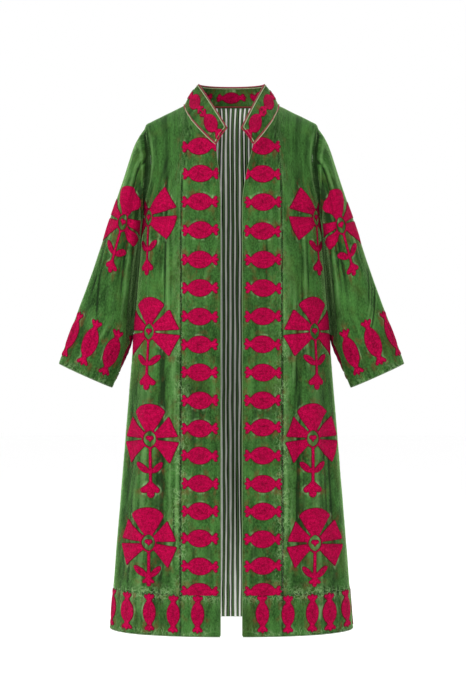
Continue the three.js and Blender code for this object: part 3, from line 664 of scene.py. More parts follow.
def collar_grid(fronts, back):
    right, left = (neck_half(side, fronts[side], back) for side in ("right", "left"))
    seam = np.concatenate([right[0][:0:-1], left[0]])
    top = np.concatenate([right[1][:0:-1], left[1]])
    foot = seam + unit(top - seam) * COLLAR_FOOT
    rise = np.linspace(0, 1, COLLAR_ROWS + 1)[:, None, None]
    flat = mix(foot, top, rise)
    roll = COLLAR_ROLL * np.sin(math.pi * rise)
    points = flat + normals_of(flat, -1) * roll
    middle = points[COLLAR_ROWS // 2][None]
    around = distances_along(middle, middle.shape[1] // 2)
    up = np.cumsum(np.linalg.norm(np.diff(points, axis=0), axis=2), axis=0)
    height = np.concatenate([np.zeros((1, points.shape[1])), up]) - up[-1] / 2
    flat = np.stack(np.broadcast_arrays(around, height), axis=-1)
    return Grid(points, normals_of(points, -1), flat, np.zeros(flat.shape[:2]))


# Embroidery. Each shape gives how far inside its outline a point lies, and below 0 outside.

def oval(a, b, length, width):
    half_a, half_b = length / 2, width / 2
    reach = np.hypot(a / half_a, b / half_b)
    slope = np.hypot(a / half_a ** 2, b / half_b ** 2) + 1e-6
    return np.where(reach < 0.02, min(half_a, half_b), reach * (1 - reach) / slope)


def bar(a, b, start, end, radius):
    (x0, y0), (x1, y1) = start, end
    dx, dy = x1 - x0, y1 - y0
    share = np.clip(((a - x0) * dx + (b - y0) * dy) / (dx * dx + dy * dy + 1e-9), 0, 1)
    return radius - np.hypot(a - x0 - share * dx, b - y0 - share * dy)


def join(first, second, soft):
    """Both shapes, with the corner between them filled in softly."""
    blend = np.maximum(soft - np.abs(first - second), 0) / soft
    return np.maximum(first, second) + blend * blend * soft / 4


def overlap(first, second, soft):
    return -join(-first, -second, soft)


def within(a, b, corners, soft):
    """A shape with straight sides, its corners given anticlockwise."""
    inside = None
    for (x0, y0), (x1, y1) in zip(corners, corners[1:] + corners[:1]):
        size = math.hypot(x1 - x0, y1 - y0)
        side = ((x1 - x0) * (b - y0) - (y1 - y0) * (a - x0)) / size
        inside = side if inside is None else overlap(inside, side, soft)
    return inside


def tufted_oval(a, b, length, oval_length, width, tuft, neck=5):
    """An oval with a three-lobed tuft at each end. a runs along it."""
    a = np.abs(a)
    half = length / 2
    body = oval(a, b, oval_length, width)
    body = join(body, bar(a, b, (0, 0), (half - 8, 0), neck), 6)
    root = (oval_length / 2 + 1.5, 0)
    tips = bar(a, b, root, (half - 4, 0), 3.6)
    for sign in (-1, 1):
        tips = join(tips, bar(a, b, root, (half - 7.5, sign * (tuft / 2 - 4.8)), 4.6), 1.5)
    return join(body, tips, 2)


FAN = {"corner": (37.5, 60), "root": (9, 17), "top": 79}
PETALS = [
    [(12, 1), (67.5, 3.6), (47, 51.5), (10, 16)],
    [(9, -16), (47, -57), (69.5, -7), (12, -1)],
]
HIGH_PETALS = [
    [(12, 4), (71, 19), (42, 70), (3, 20)],
    [(8, -17), (50, -54), (65, -28), (72, 2), (12, 1)],
]
SLEEVE_FAN = {"corner": (44, 62), "root": (9, 17), "top": 83}
INNER_SLEEVE_PETALS = [
    [(12, 1), (62, 3), (54, 35), (12, 15)],
    [(9, -15), (35, -36), (61, -5), (12, -1)],
]
OUTER_SLEEVE_PETALS = [
    [(12, 1), (66, 3), (54, 44), (12, 15)],
    [(9, -16), (48, -62), (69, -7), (12, -1)],
]
LEAF_PLACE = (16, -64)
LEAF_TURN = math.radians(44)
STEM_LENGTH, LOW_STEM_LENGTH, SLEEVE_STEM_LENGTH = 107, 82, 98
FOOT_SIZE, LOW_FOOT_SIZE = 1.2, 0.78


def flower(a, b, petals, fan=None, stem_length=STEM_LENGTH, foot_size=FOOT_SIZE):
    """Petals round an eye, on a stem with two leaves and a three-lobed foot. b points up.

    petals holds the petals towards the middle of the coat and the petals away from it.
    """
    mirrored = np.abs(a)
    shape = oval(a, b, 34, 44)
    for side, corners in zip((-1, 1), petals):
        for petal in corners:
            shape = join(shape, within(side * a, b, petal, 3), 1)
    if fan:
        x, y = fan["corner"]
        root_x, root_y = fan["root"]
        rise = fan["top"] - y
        radius = (x * x + rise * rise) / (2 * rise)
        dome = radius - np.hypot(a, b - fan["top"] + radius)
        sides = [(-90, root_y), (root_x, root_y), (x, y), (x * 1.6, y * 1.6), (-90, 90)]
        shape = join(shape, overlap(dome, within(mirrored, b, sides, 1), 3), 1)
    stem = bar(a, b, (0, -18), (0, -stem_length), 3.9)
    la, lb = mirrored - LEAF_PLACE[0], b - LEAF_PLACE[1]
    cos, sin = math.cos(LEAF_TURN), math.sin(LEAF_TURN)
    leaf = oval(cos * la + sin * lb, cos * lb - sin * la, 34, 15.5)
    stem = join(stem, leaf, 4)
    fa, fb = mirrored / foot_size, (b + stem_length) / foot_size
    foot = bar(fa, fb, (0, 2), (0, -14), 7)
    foot = join(foot, bar(fa, fb, (2, 2), (11.2, -6), 6), 2) * foot_size
    shape = join(shape, join(stem, foot, 4), 3)
    eye = np.minimum(*(18.55 - np.hypot(a - side * 5.85, b) for side in (-1, 1)))
    heart = join(5.6 - np.hypot(mirrored - 3.4, b - 2.4), bar(a, b, (0, 0), (0, -6), 2.4), 4)
    return np.maximum(np.minimum(shape, -eye), heart)


def whole_flower(a, b):
    return flower(a, b, (PETALS, PETALS), FAN)


def low_flower(a, b):
    """The lowest flower of a panel has a short stem, so that its foot clears the hem seam."""
    return flower(a, b, (PETALS, PETALS), FAN, LOW_STEM_LENGTH, LOW_FOOT_SIZE)


def side_flower(a, b):
    """The highest flower of a front has four petals and no fan."""
    return flower(a, b, (HIGH_PETALS, HIGH_PETALS))


def sleeve_flower(a, b):
    """A flower on a sleeve lies a little lower towards the body."""
    b = b + 0.1 * np.maximum(0, -a)
    petals = (INNER_SLEEVE_PETALS, OUTER_SLEEVE_PETALS)
    return flower(a, b, petals, SLEEVE_FAN, SLEEVE_STEM_LENGTH, 1)


def band_oval(a, b):
    return tufted_oval(a, b, 87, 56, 40.5, 28)


def hem_oval(a, b):
    return tufted_oval(b, a, 87, 52, 31, 25)


def wide_hem_oval(a, b):
    return hem_oval(a / 1.45, b)


def cuff_oval(a, b):
    return tufted_oval(b, a, 112, 70, 38, 29)


def collar_oval(a, b):
    return tufted_oval(a, b, 92, 52, 39, 27, 3.2)


def inner_collar_oval(a, b):
    return tufted_oval(a, b, 74, 43, 28, 21, 3)


# A motif is its shape, its place on the flat cloth, and how far it reaches.
MOTIF_REACH = {
    band_oval: 48, hem_oval: 48, wide_hem_oval: 48, cuff_oval: 62,
    collar_oval: 52, inner_collar_oval: 42,
    whole_flower: 138, low_flower: 124, side_flower: 138, sleeve_flower: 124,
}
BAND_OVALS_Z = (
    -104.4, -167.6, -230.8, -294.5, -359.5, -424, -486.5, -548.6, -611.5,
    -673.1, -734.8, -794.7, -858, -920.2, -980.2, -1040, -1097.5,
)
HEM_OVAL_Z = -1147
HEM_PITCH = 56
HEM_OVALS = {
    "left": (44.5, 102.5, 157, 203, 262, 319),
    "right": (49, 105, 163, 222, 290, 340),
}
CUFF_OVAL_UP = 74
CUFF_OVALS = (-98, -41.7, 15.7, 72, 129, 186, 243, 290)
COLLAR_PITCH = 88
INNER_COLLAR_PITCH = 82
# Across, up, and how much wider the half towards the front edge and the outer half are drawn.
FRONT_FLOWERS = {
    "right": [
        (182, -261, 1.18, 1.3), (169.5, -519, 1.18, 1.38),
        (163, -760, 1.03, 1.38), (163.5, -991.5, 1, 1.36),
    ],
    "left": [
        (191, -261, 1.2, 1.3), (169, -519, 1.17, 1.38),
        (161, -760, 0.97, 1.4), (163.5, -991.5, 0.98, 1.36),
    ],
}
SLEEVE_FLOWERS = {
    "right": [(14, 357, 1.72, 1.42), (236, 352, 1.1, 1.1)],
    "left": [(16.5, 351, 1.72, 1.42), (238, 347, 1.1, 1.1)],
}
BACK_FLOWER_X = (-112, 112)
BACK_FLOWERS_Z = (-262, -519, -760, -991.5)
BACK_FLOWER_SHAPES = (whole_flower, whole_flower, whole_flower, low_flower)


def by_hand(motifs, seed):
    """Hand work is never quite even: each motif shifts and turns a little."""
    rng = np.random.default_rng(seed)
    return [
        (shape, across + rng.uniform(-1.2, 1.2), up + rng.uniform(-1.3, 1.3),
         rng.uniform(-0.025, 0.025), stretch or (1, 1))
        for shape, across, up, *stretch in motifs
    ]


def front_motifs(side):
    motifs = [(band_oval, 45.3, z) for z in BAND_OVALS_Z]
    shapes = (side_flower, *BACK_FLOWER_SHAPES[1:])
    motifs += [(shape, *place) for shape, place in zip(shapes, FRONT_FLOWERS[side])]
    return by_hand(motifs, 101 + SIGN[side])


def hem_motifs(side):
    ovals = [(wide_hem_oval if x > 200 else hem_oval, x, HEM_OVAL_Z) for x in HEM_OVALS[side]]
    return by_hand(ovals, 111 + SIGN[side])


def back_motifs():
    rows = list(zip(BACK_FLOWER_SHAPES, BACK_FLOWERS_Z))
    return by_hand([(shape, x, z) for x in BACK_FLOWER_X for shape, z in rows], 131)


def back_hem_motifs(half):
    places = np.arange(HEM_PITCH / 2, half + 20, HEM_PITCH)
    return by_hand([(hem_oval, x, HEM_OVAL_Z) for x in (*-places[::-1], *places)], 137)


def sleeve_motifs(side):
    front_place, back_place = SLEEVE_FLOWERS[side]
    motifs = [(sleeve_flower, *front_place), (whole_flower, *back_place)]
    return by_hand(motifs + [(cuff_oval, x, CUFF_OVAL_UP) for x in CUFF_OVALS], 141 + SIGN[side])


def collar_motifs():
    return by_hand([(collar_oval, COLLAR_PITCH * k, 0) for k in range(-3, 4)], 151)


def inner_collar_motifs():
    return by_hand([(inner_collar_oval, INNER_COLLAR_PITCH * k, 0) for k in range(-1, 2)], 157)


def sewn_depth(flat, motifs):
    """How far inside a motif each point of the cloth lies."""
    across, up = flat[..., 0], flat[..., 1]
    depth = np.full(across.shape, -200.0)
    for shape, at_across, at_up, turn, (inner, outer) in motifs:
        da, db = across - at_across, up - at_up
        widening = np.where(da < 0, inner, outer) - 1
        da = da / (1 + widening * np.minimum(1, np.abs(da) / 55))
        near = np.hypot(da, db) < MOTIF_REACH[shape] + 14
        if not near.any():
            continue
        cos, sin = math.cos(turn), math.sin(turn)
        a, b = cos * da[near] + sin * db[near], cos * db[near] - sin * da[near]
        depth[near] = np.maximum(depth[near], shape(a, b))
    return depth


# Meshes

def linked(name, data):
    """A new object of this data, in the scene."""
    made = bpy.data.objects.new(name, data)
    bpy.context.scene.collection.objects.link(made)
    return made


def make_piece(name, points, faces, finishes, finish_of=None, maps=None, marks=None):
    """A mesh that rides on the coat. points and maps are millimetres."""
    mesh = bpy.data.meshes.new(name)
    mesh.from_pydata((points * MM).tolist(), [], faces)
    for finish in finishes:
        mesh.materials.append(finish)
    if finish_of is not None:
        mesh.polygons.foreach_set("material_index", np.asarray(finish_of, np.int32))
    corners = np.zeros(len(mesh.loops), np.int32)
    mesh.loops.foreach_get("vertex_index", corners)
    for map_name, places in (maps or {}).items():
        layer = mesh.uv_layers.new(name=map_name)
        layer.data.foreach_set("uv", (places[corners] * MM).astype(np.float32).ravel())
    for mark, values in (marks or {}).items():
        layer = mesh.attributes.new(mark, "FLOAT", "POINT")
        layer.data.foreach_set("value", np.asarray(values, np.float32))
    mesh.shade_smooth()
    mesh.update()
    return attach(linked(name, mesh), "root")


def faces_out(grid):
    """Whether the grid's own order of corners faces along its normals."""
    across = grid.points[:-1, 1:] - grid.points[:-1, :-1]
    up = grid.points[1:, :-1] - grid.points[:-1, :-1]
    return np.sum(np.cross(across, up) * grid.normals[:-1, :-1]) > 0


def border_of(rows, columns):
    """Row and column of each border point, once round."""
    loop = [(0, c) for c in range(columns - 1)] + [(r, columns - 1) for r in range(rows - 1)]
    loop += [(rows - 1, c) for c in range(columns - 1, 0, -1)]
    loop += [(r, 0) for r in range(rows - 1, 0, -1)]
    return np.array(loop)


ROUND_EDGE = ((0.88, 0.8), (0, 1), (-0.88, 0.8))    # shares of half the wall: along its normal, out


def wall_of_cloth(grid, thickness, offset=0):
    """Cloth of a thickness with rounded edges: points, faces, the side of each, and the border."""
    points, normals = grid.points.copy(), grid.normals
    rows, columns = points.shape[:2]
    into = np.zeros_like(points)
    for edge, inner in ((0, 1), (-1, -2)):
        into[edge] += unit(points[inner] - points[edge])
        into[:, edge] += unit(points[:, inner] - points[:, edge])
    half = thickness / 2
    points += into * (half + SEAM_SLACK)
    points += normals * offset
    loop = border_of(rows, columns)
    r, c = loop[:, 0], loop[:, 1]
    edge_point, edge_normal, edge_out = points[r, c], normals[r, c], -into[r, c]
    rims = [edge_point + half * (edge_normal * a + edge_out * b) for a, b in ROUND_EDGE]
    size = rows * columns
    every = np.concatenate([
        (points + normals * half).reshape(-1, 3),
        (points - normals * half).reshape(-1, 3),
        *rims,
    ])
    index = np.arange(size).reshape(rows, columns)
    a, b, d, e = index[:-1, :-1], index[:-1, 1:], index[1:, 1:], index[1:, :-1]
    outer = np.stack([a, b, d, e], axis=-1).reshape(-1, 4)
    inner = outer[:, ::-1] + size
    count = len(loop)
    here = np.arange(count)
    after = (here + 1) % count
    border = index[r, c]
    rings = [border] + [2 * size + k * count + here for k in range(3)] + [border + size]
    rim = np.concatenate([
        np.stack([low[after], low[here], high[here], high[after]], axis=-1)
        for low, high in zip(rings[:-1], rings[1:])
    ])
    faces = np.concatenate([outer, inner, rim])
    if not faces_out(grid):
        faces = faces[:, ::-1]
    side = np.concatenate([np.zeros(len(outer)), np.ones(len(inner)), np.zeros(len(rim))])
    return every, faces, side, loop


def spread(values, loop):
    """What each grid point has, repeated for both faces and the turned edge."""
    edge = values[loop[:, 0], loop[:, 1]]
    inner = values.reshape(-1, *values.shape[2:])
    return np.concatenate([inner, inner, edge, edge, edge])


def cell_cuts():
    """Corners and crossed sides that a motif covers in a cell, by which corners lie inside."""
    cuts = {}
    for case in range(1, 16):
        inside = [bool(case >> k & 1) for k in range(4)]
        ring = []
        for k in range(4):
            if inside[k]:
                ring.append(k)
            if inside[k] != inside[(k + 1) % 4]:
                ring.append(4 + k)
        cuts[case] = ring
    return cuts


CELL_CUTS = cell_cuts()
THREAD_HEIGHT = 1.35          # of the embroidery over the cloth
THREAD_EDGE = 0.9             # width of its rounded edge
THREAD_ROOT = 0.35            # how far it is sunk into the cloth
THREAD_ROUND = 0.72           # share of height and width at the round of the edge


def outlined(grid, depth, level):
    """The part of a grid where depth is over level: points, normals, flat, depth and triangles."""
    rows, columns = depth.shape
    inside = depth > level
    corner = np.arange(rows * columns).reshape(rows, columns)
    total = rows * columns
    corners = [corner[:-1, :-1], corner[:-1, 1:], corner[1:, 1:], corner[1:, :-1]]
    sides = [
        corners[0] + total, corners[1] + 2 * total,
        corners[3] + total, corners[0] + 2 * total,
    ]
    case = sum(inside[r0:rows - 1 + r0, c0:columns - 1 + c0].astype(int) << k
               for k, (r0, c0) in enumerate([(0, 0), (0, 1), (1, 1), (1, 0)]))
    triangles = []
    for value, ring in CELL_CUTS.items():
        cells = case == value
        if not cells.any():
            continue
        ids = [(corners[k] if k < 4 else sides[k - 4])[cells] for k in ring]
        triangles += [
            np.stack([ids[0], ids[k], ids[k + 1]], axis=-1) for k in range(1, len(ids) - 1)]
    triangles = np.concatenate(triangles)
    used, renumbered = np.unique(triangles, return_inverse=True)
    start = used % total
    step = np.where(used < total, 0, np.where(used < 2 * total, 1, columns))
    end = start + step
    values = depth.ravel()
    gap = values[end] - values[start]
    share = np.where(step > 0, (level - values[start]) / np.where(gap == 0, 1, gap), 0)
    share = np.where(step > 0, np.clip(share, 0.08, 0.92), 0)[:, None]

    def between(field):
        return mix(field[start], field[end], share)

    fields = (grid.points, grid.normals, grid.flat)
    points, normals, flat = (between(field.reshape(total, -1)) for field in fields)
    return points, unit(normals), flat, between(values[:, None])[:, 0], renumbered.reshape(-1, 3)


def embroider(name, grid, motifs, wall=VELVET_WALL):
    """Raised needlework in the shape of the motifs, round at its edge and sunk into the cloth."""
    depth = sewn_depth(grid.flat, motifs)
    points, normals, flat, depth, triangles = outlined(grid, depth, THREAD_EDGE)
    if not faces_out(grid):
        triangles = triangles[:, ::-1]
    count = len(points)
    pairs = np.concatenate([triangles[:, ends] for ends in ([0, 1], [1, 2], [2, 0])])
    forward = pairs[:, 0] * count + pairs[:, 1]
    backward = pairs[:, 1] * count + pairs[:, 0]
    border = pairs[~np.isin(forward, backward)]
    first, second = border[:, 0], border[:, 1]
    outward = np.zeros_like(points)
    away = unit(np.cross(points[second] - points[first], normals[first] + normals[second]))
    np.add.at(outward, first, away)
    np.add.at(outward, second, away)
    outward = unit(outward)
    edge_ids = np.unique(border)
    place = np.full(count, -1)
    place[edge_ids] = np.arange(len(edge_ids))
    base = points + normals * wall / 2
    top = base + normals * THREAD_HEIGHT
    shoulder = base + normals * THREAD_HEIGHT * THREAD_ROUND + outward * THREAD_EDGE * THREAD_ROUND
    shoulder = shoulder[edge_ids]
    under = base - normals * THREAD_ROOT
    under[edge_ids] += outward[edge_ids] * THREAD_EDGE
    every = np.concatenate([top, shoulder, under])
    ring = count + place
    low = count + len(edge_ids)
    quads = np.concatenate([
        np.stack([second, first, ring[first], ring[second]], axis=-1),
        np.stack([ring[second], ring[first], low + first, low + second], axis=-1),
    ])
    faces = [*triangles.tolist(), *quads.tolist(), *(triangles[:, ::-1] + low).tolist()]
    inward = np.concatenate([depth, np.full(len(edge_ids), 0.3), np.zeros(count)])
    flats = np.concatenate([flat, flat[edge_ids], flat])
    marks = {"inward": inward * MM}
    make_piece(name, every, faces, [WOOL], maps={"flat": flats}, marks=marks)


def cord(name, points, radius, finish, stands_for=None, sides=8):
    """A round cord along a line of points, with blunt pointed ends."""
    along = unit(np.gradient(points, axis=0))
    out = np.zeros_like(points)
    guide = unit(np.cross(along[0], (0.3, 0.5, 0.8)))
    for i, direction in enumerate(along):
        guide = unit(guide - direction * np.dot(guide, direction))
        out[i] = guide
    side = np.cross(along, out)
    run = run_along(points)
    angles = np.linspace(0, TURN, sides, endpoint=False)
    rings = points[:, None] + radius * (
        out[:, None] * np.cos(angles)[None, :, None]
        + side[:, None] * np.sin(angles)[None, :, None])
    ends = np.stack([points[0] - along[0] * radius * 0.6, points[-1] + along[-1] * radius * 0.6])
    count = len(points)
    index = np.arange(count * sides).reshape(count, sides)
    after = np.roll(index, -1, axis=1)
    faces = np.stack([index[:-1], after[:-1], after[1:], index[1:]], axis=-1)
    faces = faces.reshape(-1, 4).tolist()
    first, last = count * sides, count * sides + 1
    faces += [[first, after[0, k], index[0, k]] for k in range(sides)]
    faces += [[last, index[-1, k], after[-1, k]] for k in range(sides)]
    flat = np.stack(np.broadcast_arrays(angles[None] * radius, run[:, None]), axis=-1)
    flat = np.concatenate([flat.reshape(-1, 2), [[0, 0], [0, run[-1]]]])
    every = np.concatenate([rings.reshape(-1, 3), ends])
    piece = make_piece(name, every, faces, [finish], maps={"flat": flat})
    if stands_for:
        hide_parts(stands_for)


# ---- finishes

def dye(red, green, blue):
    """A colour as 0 to 255 on a screen, in the linear numbers that a shader takes."""
    shares = (red / 255, green / 255, blue / 255)
    return (*(c / 12.92 if c <= 0.04045 else ((c + 0.055) / 1.055) ** 2.4 for c in shares), 1)


def add_node(tree, kind, settings=None, sockets=None):
    """A node, with its settings and what feeds its sockets. Gives its outputs."""
    made = tree.nodes.new(kind)
    for name, value in (settings or {}).items():
        setattr(made, name, value)
    for name, value in (sockets or {}).items():
        if isinstance(value, bpy.types.NodeSocket):
            tree.links.new(value, made.inputs[name])
        else:
            made.inputs[name].default_value = value
    return made.outputs


class Value:
    """A socket of a finish. Arithmetic on it adds Math nodes."""

    def __init__(self, finish, socket):
        self.finish, self.socket = finish, socket

    def math(self, operation, *values):
        return self.finish.node("ShaderNodeMath", {"operation": operation}, dict(enumerate(values)))

    def __add__(self, other):
        return self.math("ADD", self, other)

    def __sub__(self, other):
        return self.math("SUBTRACT", self, other)

    def __rsub__(self, other):
        return self.math("SUBTRACT", other, self)

    def __mul__(self, other):
        return self.math("MULTIPLY", self, other)

    def __truediv__(self, other):
        return self.math("DIVIDE", self, other)

    def size(self):
        return self.math("ABSOLUTE", self)

    def repeated(self):
        return self.math("FRACT", self)

    def wave(self):
        return self.math("SINE", self * TURN)

    def rising(self, low, high):
        """0 below low and 1 above high, smooth between them."""
        settings = {"interpolation_type": "SMOOTHSTEP"}
        sockets = {"Value": self, "From Min": low, "From Max": high}
        return self.finish.node("ShaderNodeMapRange", settings, sockets)


class Finish:
    """A material of the coat."""

    def __init__(self, name, fixed):
        self.material = bpy.data.materials.new(name)
        self.material.use_nodes = True
        self.tree = self.material.node_tree
        self.shader = self.tree.nodes["Principled BSDF"]
        for socket, value in fixed.items():
            self.shader.inputs[socket].default_value = value

    def node(self, kind, settings=None, sockets=None, output=0):
        fed = {name: getattr(value, "socket", value) for name, value in (sockets or {}).items()}
        return Value(self, add_node(self.tree, kind, settings, fed)[output])

    def map(self, name):
        return self.node("ShaderNodeUVMap", {"uv_map": name})

    def place(self):
        return self.node("ShaderNodeTexCoord", output="Object")

    def mark(self, name):
        return self.node("ShaderNodeAttribute", {"attribute_name": name}, output="Fac")

    def part(self, vector, axis):
        return self.node("ShaderNodeSeparateXYZ", sockets={"Vector": vector}, output=axis)

    def grain(self, vector, scale, detail=3, roughness=0.5, distortion=0, along=None):
        """Uneven spots. along below 1 draws them out along the cloth."""
        if along:
            settings, sockets = {"operation": "MULTIPLY"}, {0: vector, 1: (1, along, 1)}
            vector = self.node("ShaderNodeVectorMath", settings, sockets)
        return self.node("ShaderNodeTexNoise", sockets={
            "Vector": vector, "Scale": scale, "Detail": detail,
            "Roughness": roughness, "Distortion": distortion,
        })

    def blend(self, factor, first, second):
        """A colour between two colours."""
        sockets = {0: factor, 6: first, 7: second}
        return self.node("ShaderNodeMix", {"data_type": "RGBA"}, sockets, output=2)

    def relief(self, height, distance, strength=1.0):
        sockets = {"Height": height, "Distance": distance, "Strength": strength}
        self.feed("Normal", self.node("ShaderNodeBump", sockets=sockets))

    def feed(self, socket, value):
        self.tree.links.new(value.socket, self.shader.inputs[socket])


def velvet_finish():
    """Cotton velvet: pile crushed in streaks, rubbed pale by seams, stained, and painted highlight
    and shade on folds.
    """
    finish = Finish("green_velvet", {
        "Roughness": 0.8, "Specular IOR Level": 0.08, "Sheen Weight": 0.9, "Sheen Roughness": 0.24,
        "Sheen Tint": dye(150, 200, 122),
    })
    nap, place, painted_light = finish.map("nap"), finish.place(), finish.mark("painted_light")
    worn, sewn = finish.mark("worn"), finish.mark("stain")
    streak = finish.grain(nap, 120, 4, 0.6, along=0.07)
    crush = finish.grain(nap, 46, 5, 0.68, 0.6, along=0.45)
    cloud = finish.grain(place, 7, 4, 0.55)
    fleck = finish.grain(nap, 330, 3, 0.65, along=0.5)
    tone = streak * 0.16 + crush * 0.38 + cloud * 0.30 + fleck * 0.40
    olive = finish.grain(place, 13, 3, 0.5).rising(0.52, 0.68)
    shade = finish.grain(nap, 17, 3, 0.5, along=0.22).rising(0.56, 0.72)
    # Painted shade in fold valleys, beside seams and on a sleeve by the body; painted highlight on
    # ridges.
    painted_valley_shade = (painted_light * -1.2).rising(0.05, 1)
    painted_ridge_highlight = painted_light.rising(0.06, 1) * (streak * 0.3 + crush * 0.26)
    vein = finish.grain(nap, 105, 5, 0.62, 0.5, along=0.6)
    vein = 1 - ((vein - 0.5).size() * 20).rising(0, 1)
    patch = finish.grain(nap, 24, 3, 0.5).rising(0.38, 0.56)
    rub = finish.grain(nap, 60, 4, 0.6, along=0.2).rising(0.50, 0.72)
    bleed = finish.grain(nap, 50, 3, 0.6, along=0.6).rising(0.50, 0.66)
    pile = finish.blend((tone - 0.62).rising(-0.18, 0.18), dye(12, 36, 6), dye(60, 106, 46))
    for share, colour in (
        (olive * 0.25, dye(64, 68, 22)),
        (shade * 0.5, dye(18, 42, 12)),
        (painted_valley_shade * 0.82, dye(9, 24, 6)),
        (painted_ridge_highlight, dye(104, 146, 86)),
        (vein * worn * patch * 0.7, dye(124, 156, 104)),
        (rub * (worn * 0.16 + 0.09), dye(96, 134, 82)),
        (worn.rising(0.95, 1) * 0.25, dye(14, 34, 10)),
        (sewn.rising(0.8, 1) * rub * 0.5, dye(132, 162, 112)),
        (bleed * sewn * 0.6, dye(92, 48, 26)),
    ):
        pile = finish.blend(share, pile, colour)
    finish.feed("Base Color", pile)
    finish.relief(fleck * 1.1 + crush * 1.8 + streak * 0.8, 0.0012)
    return finish.material


def backing_finish():
    finish = Finish("cotton_backing", {"Roughness": 0.9, "Specular IOR Level": 0.2})
    flat = finish.map("flat")
    across, along = finish.part(flat, "X"), finish.part(flat, "Y")
    weave = (across * 1400).wave() * (along * 1400).wave()
    mottle = finish.grain(flat, 40, 4, 0.6)
    colour = finish.blend(mottle.rising(0.35, 0.7), dye(62, 84, 56), dye(84, 104, 74))
    finish.feed("Base Color", finish.blend(weave * 0.15 + 0.15, colour, dye(40, 54, 38)))
    finish.relief(weave, 0.0002, 0.6)
    return finish.material


def thread_finish():
    """Wool chain stitch in rows that follow the outline of each motif."""
    finish = Finish("raspberry_wool", {
        "Roughness": 0.9, "Specular IOR Level": 0.05, "Sheen Weight": 0.06, "Sheen Roughness": 0.4,
        "Sheen Tint": dye(235, 60, 120),
    })
    flat, inward = finish.map("flat"), finish.mark("inward")
    wobble = finish.grain(flat, 150, 2, 0.5) * 0.0014
    row = ((inward + wobble) * 560).wave()
    loops = finish.grain(flat, 480, 3, 0.7)
    bundle = finish.grain(flat, 150, 4, 0.65)
    tone = (bundle * 0.5 + loops * 0.7 - 0.6).rising(-0.14, 0.13)
    colour = finish.blend(tone, dye(124, 0, 40), dye(200, 4, 75))
    colour = finish.blend((1 - row) * 0.10, colour, dye(90, 0, 30))
    # Painted shade: the embroidery is darker along its rounded edge.
    colour = finish.blend(1 - inward.rising(0.0003, 0.0026), colour, dye(84, 4, 26))
    finish.feed("Base Color", colour)
    finish.relief(row * 0.5 + loops * 1.6 + bundle * 1.6, 0.0011)
    return finish.material


def lining_finish():
    """Woven stripes: white, black, olive and black again. They sway and vary in width."""
    finish = Finish("striped_lining", {"Roughness": 0.8, "Specular IOR Level": 0.1})
    flat, painted_light = finish.map("flat"), finish.mark("painted_light")
    across, along = finish.part(flat, "X"), finish.part(flat, "Y")
    sway = finish.grain(flat, 7, 2, 0.5, along=0.12) * 0.006
    sway = sway + finish.grain(flat, 22, 2, 0.5, along=0.22) * 0.007
    uneven = (finish.grain(flat, 95, 1, 0.5, along=0.03) - 0.5) * 0.55
    from_middle = (((across + sway + 1) / STRIPE_PITCH).repeated() - 0.5).size()

    def stripe(distance, width):
        return 1 - distance.rising(width / 2 - STRIPE_BLUR, width / 2 + STRIPE_BLUR)

    white = stripe(from_middle + uneven, STRIPE_WHITE)
    olive = stripe((from_middle - 0.5).size(), STRIPE_OLIVE)
    ground = finish.blend(olive, dye(2, 5, 2), dye(88, 120, 72))
    dust = finish.grain(flat, 110, 4, 0.6)
    colour = finish.blend(white, ground, dye(248, 248, 240))
    colour = finish.blend(dust.rising(0.4, 0.8) * 0.05, colour, dye(120, 128, 112))
    # Painted shade in the valleys of the lining's folds.
    colour = finish.blend((painted_light * -1).rising(0, 1) * 0.4, colour, dye(20, 24, 18))
    finish.feed("Base Color", colour)
    weave = (across * 1800).wave() * (along * 1800).wave()
    finish.relief(weave, 0.00015, 0.6)
    return finish.material


def cord_finish(name, dark, light):
    """Thread wound round a cord at a slant."""
    finish = Finish(name, {"Roughness": 0.7, "Specular IOR Level": 0.3})
    flat = finish.map("flat")
    wound = ((finish.part(flat, "Y") + finish.part(flat, "X") * 0.5) * 700).wave()
    colour = finish.blend(wound * 0.5 + 0.5, dark, light)
    finish.feed("Base Color", finish.blend(finish.grain(flat, 240, 3, 0.6) * 0.3, colour, dark))
    finish.relief(wound, 0.0003)
    return finish.material


STRIPE_PITCH = 0.0111
STRIPE_WHITE = 0.37           # shares of the pitch
STRIPE_OLIVE = 0.30
STRIPE_BLUR = 0.03

VELVET = velvet_finish()
BACKING = backing_finish()
WOOL = thread_finish()
LINING = lining_finish()
RED_CORD = cord_finish("red_cord", dye(116, 12, 38), dye(170, 36, 68))
PALE_CORD = cord_finish("pale_cord", dye(120, 128, 92), dye(190, 186, 152))
WORN_EDGE = cord_finish("worn_edge", dye(70, 100, 56), dye(136, 160, 114))
GREEN_THREAD = cord_finish("green_thread", dye(44, 78, 36), dye(96, 134, 78))


# ---- the coat

WORN_REACH = 16               # of the rubbing beside a seam
STAIN_REACH = 12              # of the stain round embroidery


def cloth_piece(name, grid, wall, finishes, maps, marks, offset=0):
    """A wall of cloth in place of a solid, which is hidden; maps give its place on the flat cloth.
    """
    points, faces, side, loop = wall_of_cloth(grid, wall, offset)
    piece = make_piece(
        name + "_cloth", points, faces.tolist(), finishes, np.minimum(side, len(finishes) - 1),
        {key: spread(value, loop) for key, value in maps.items()},
        {key: spread(value, loop) for key, value in marks.items()})
    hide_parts(name)


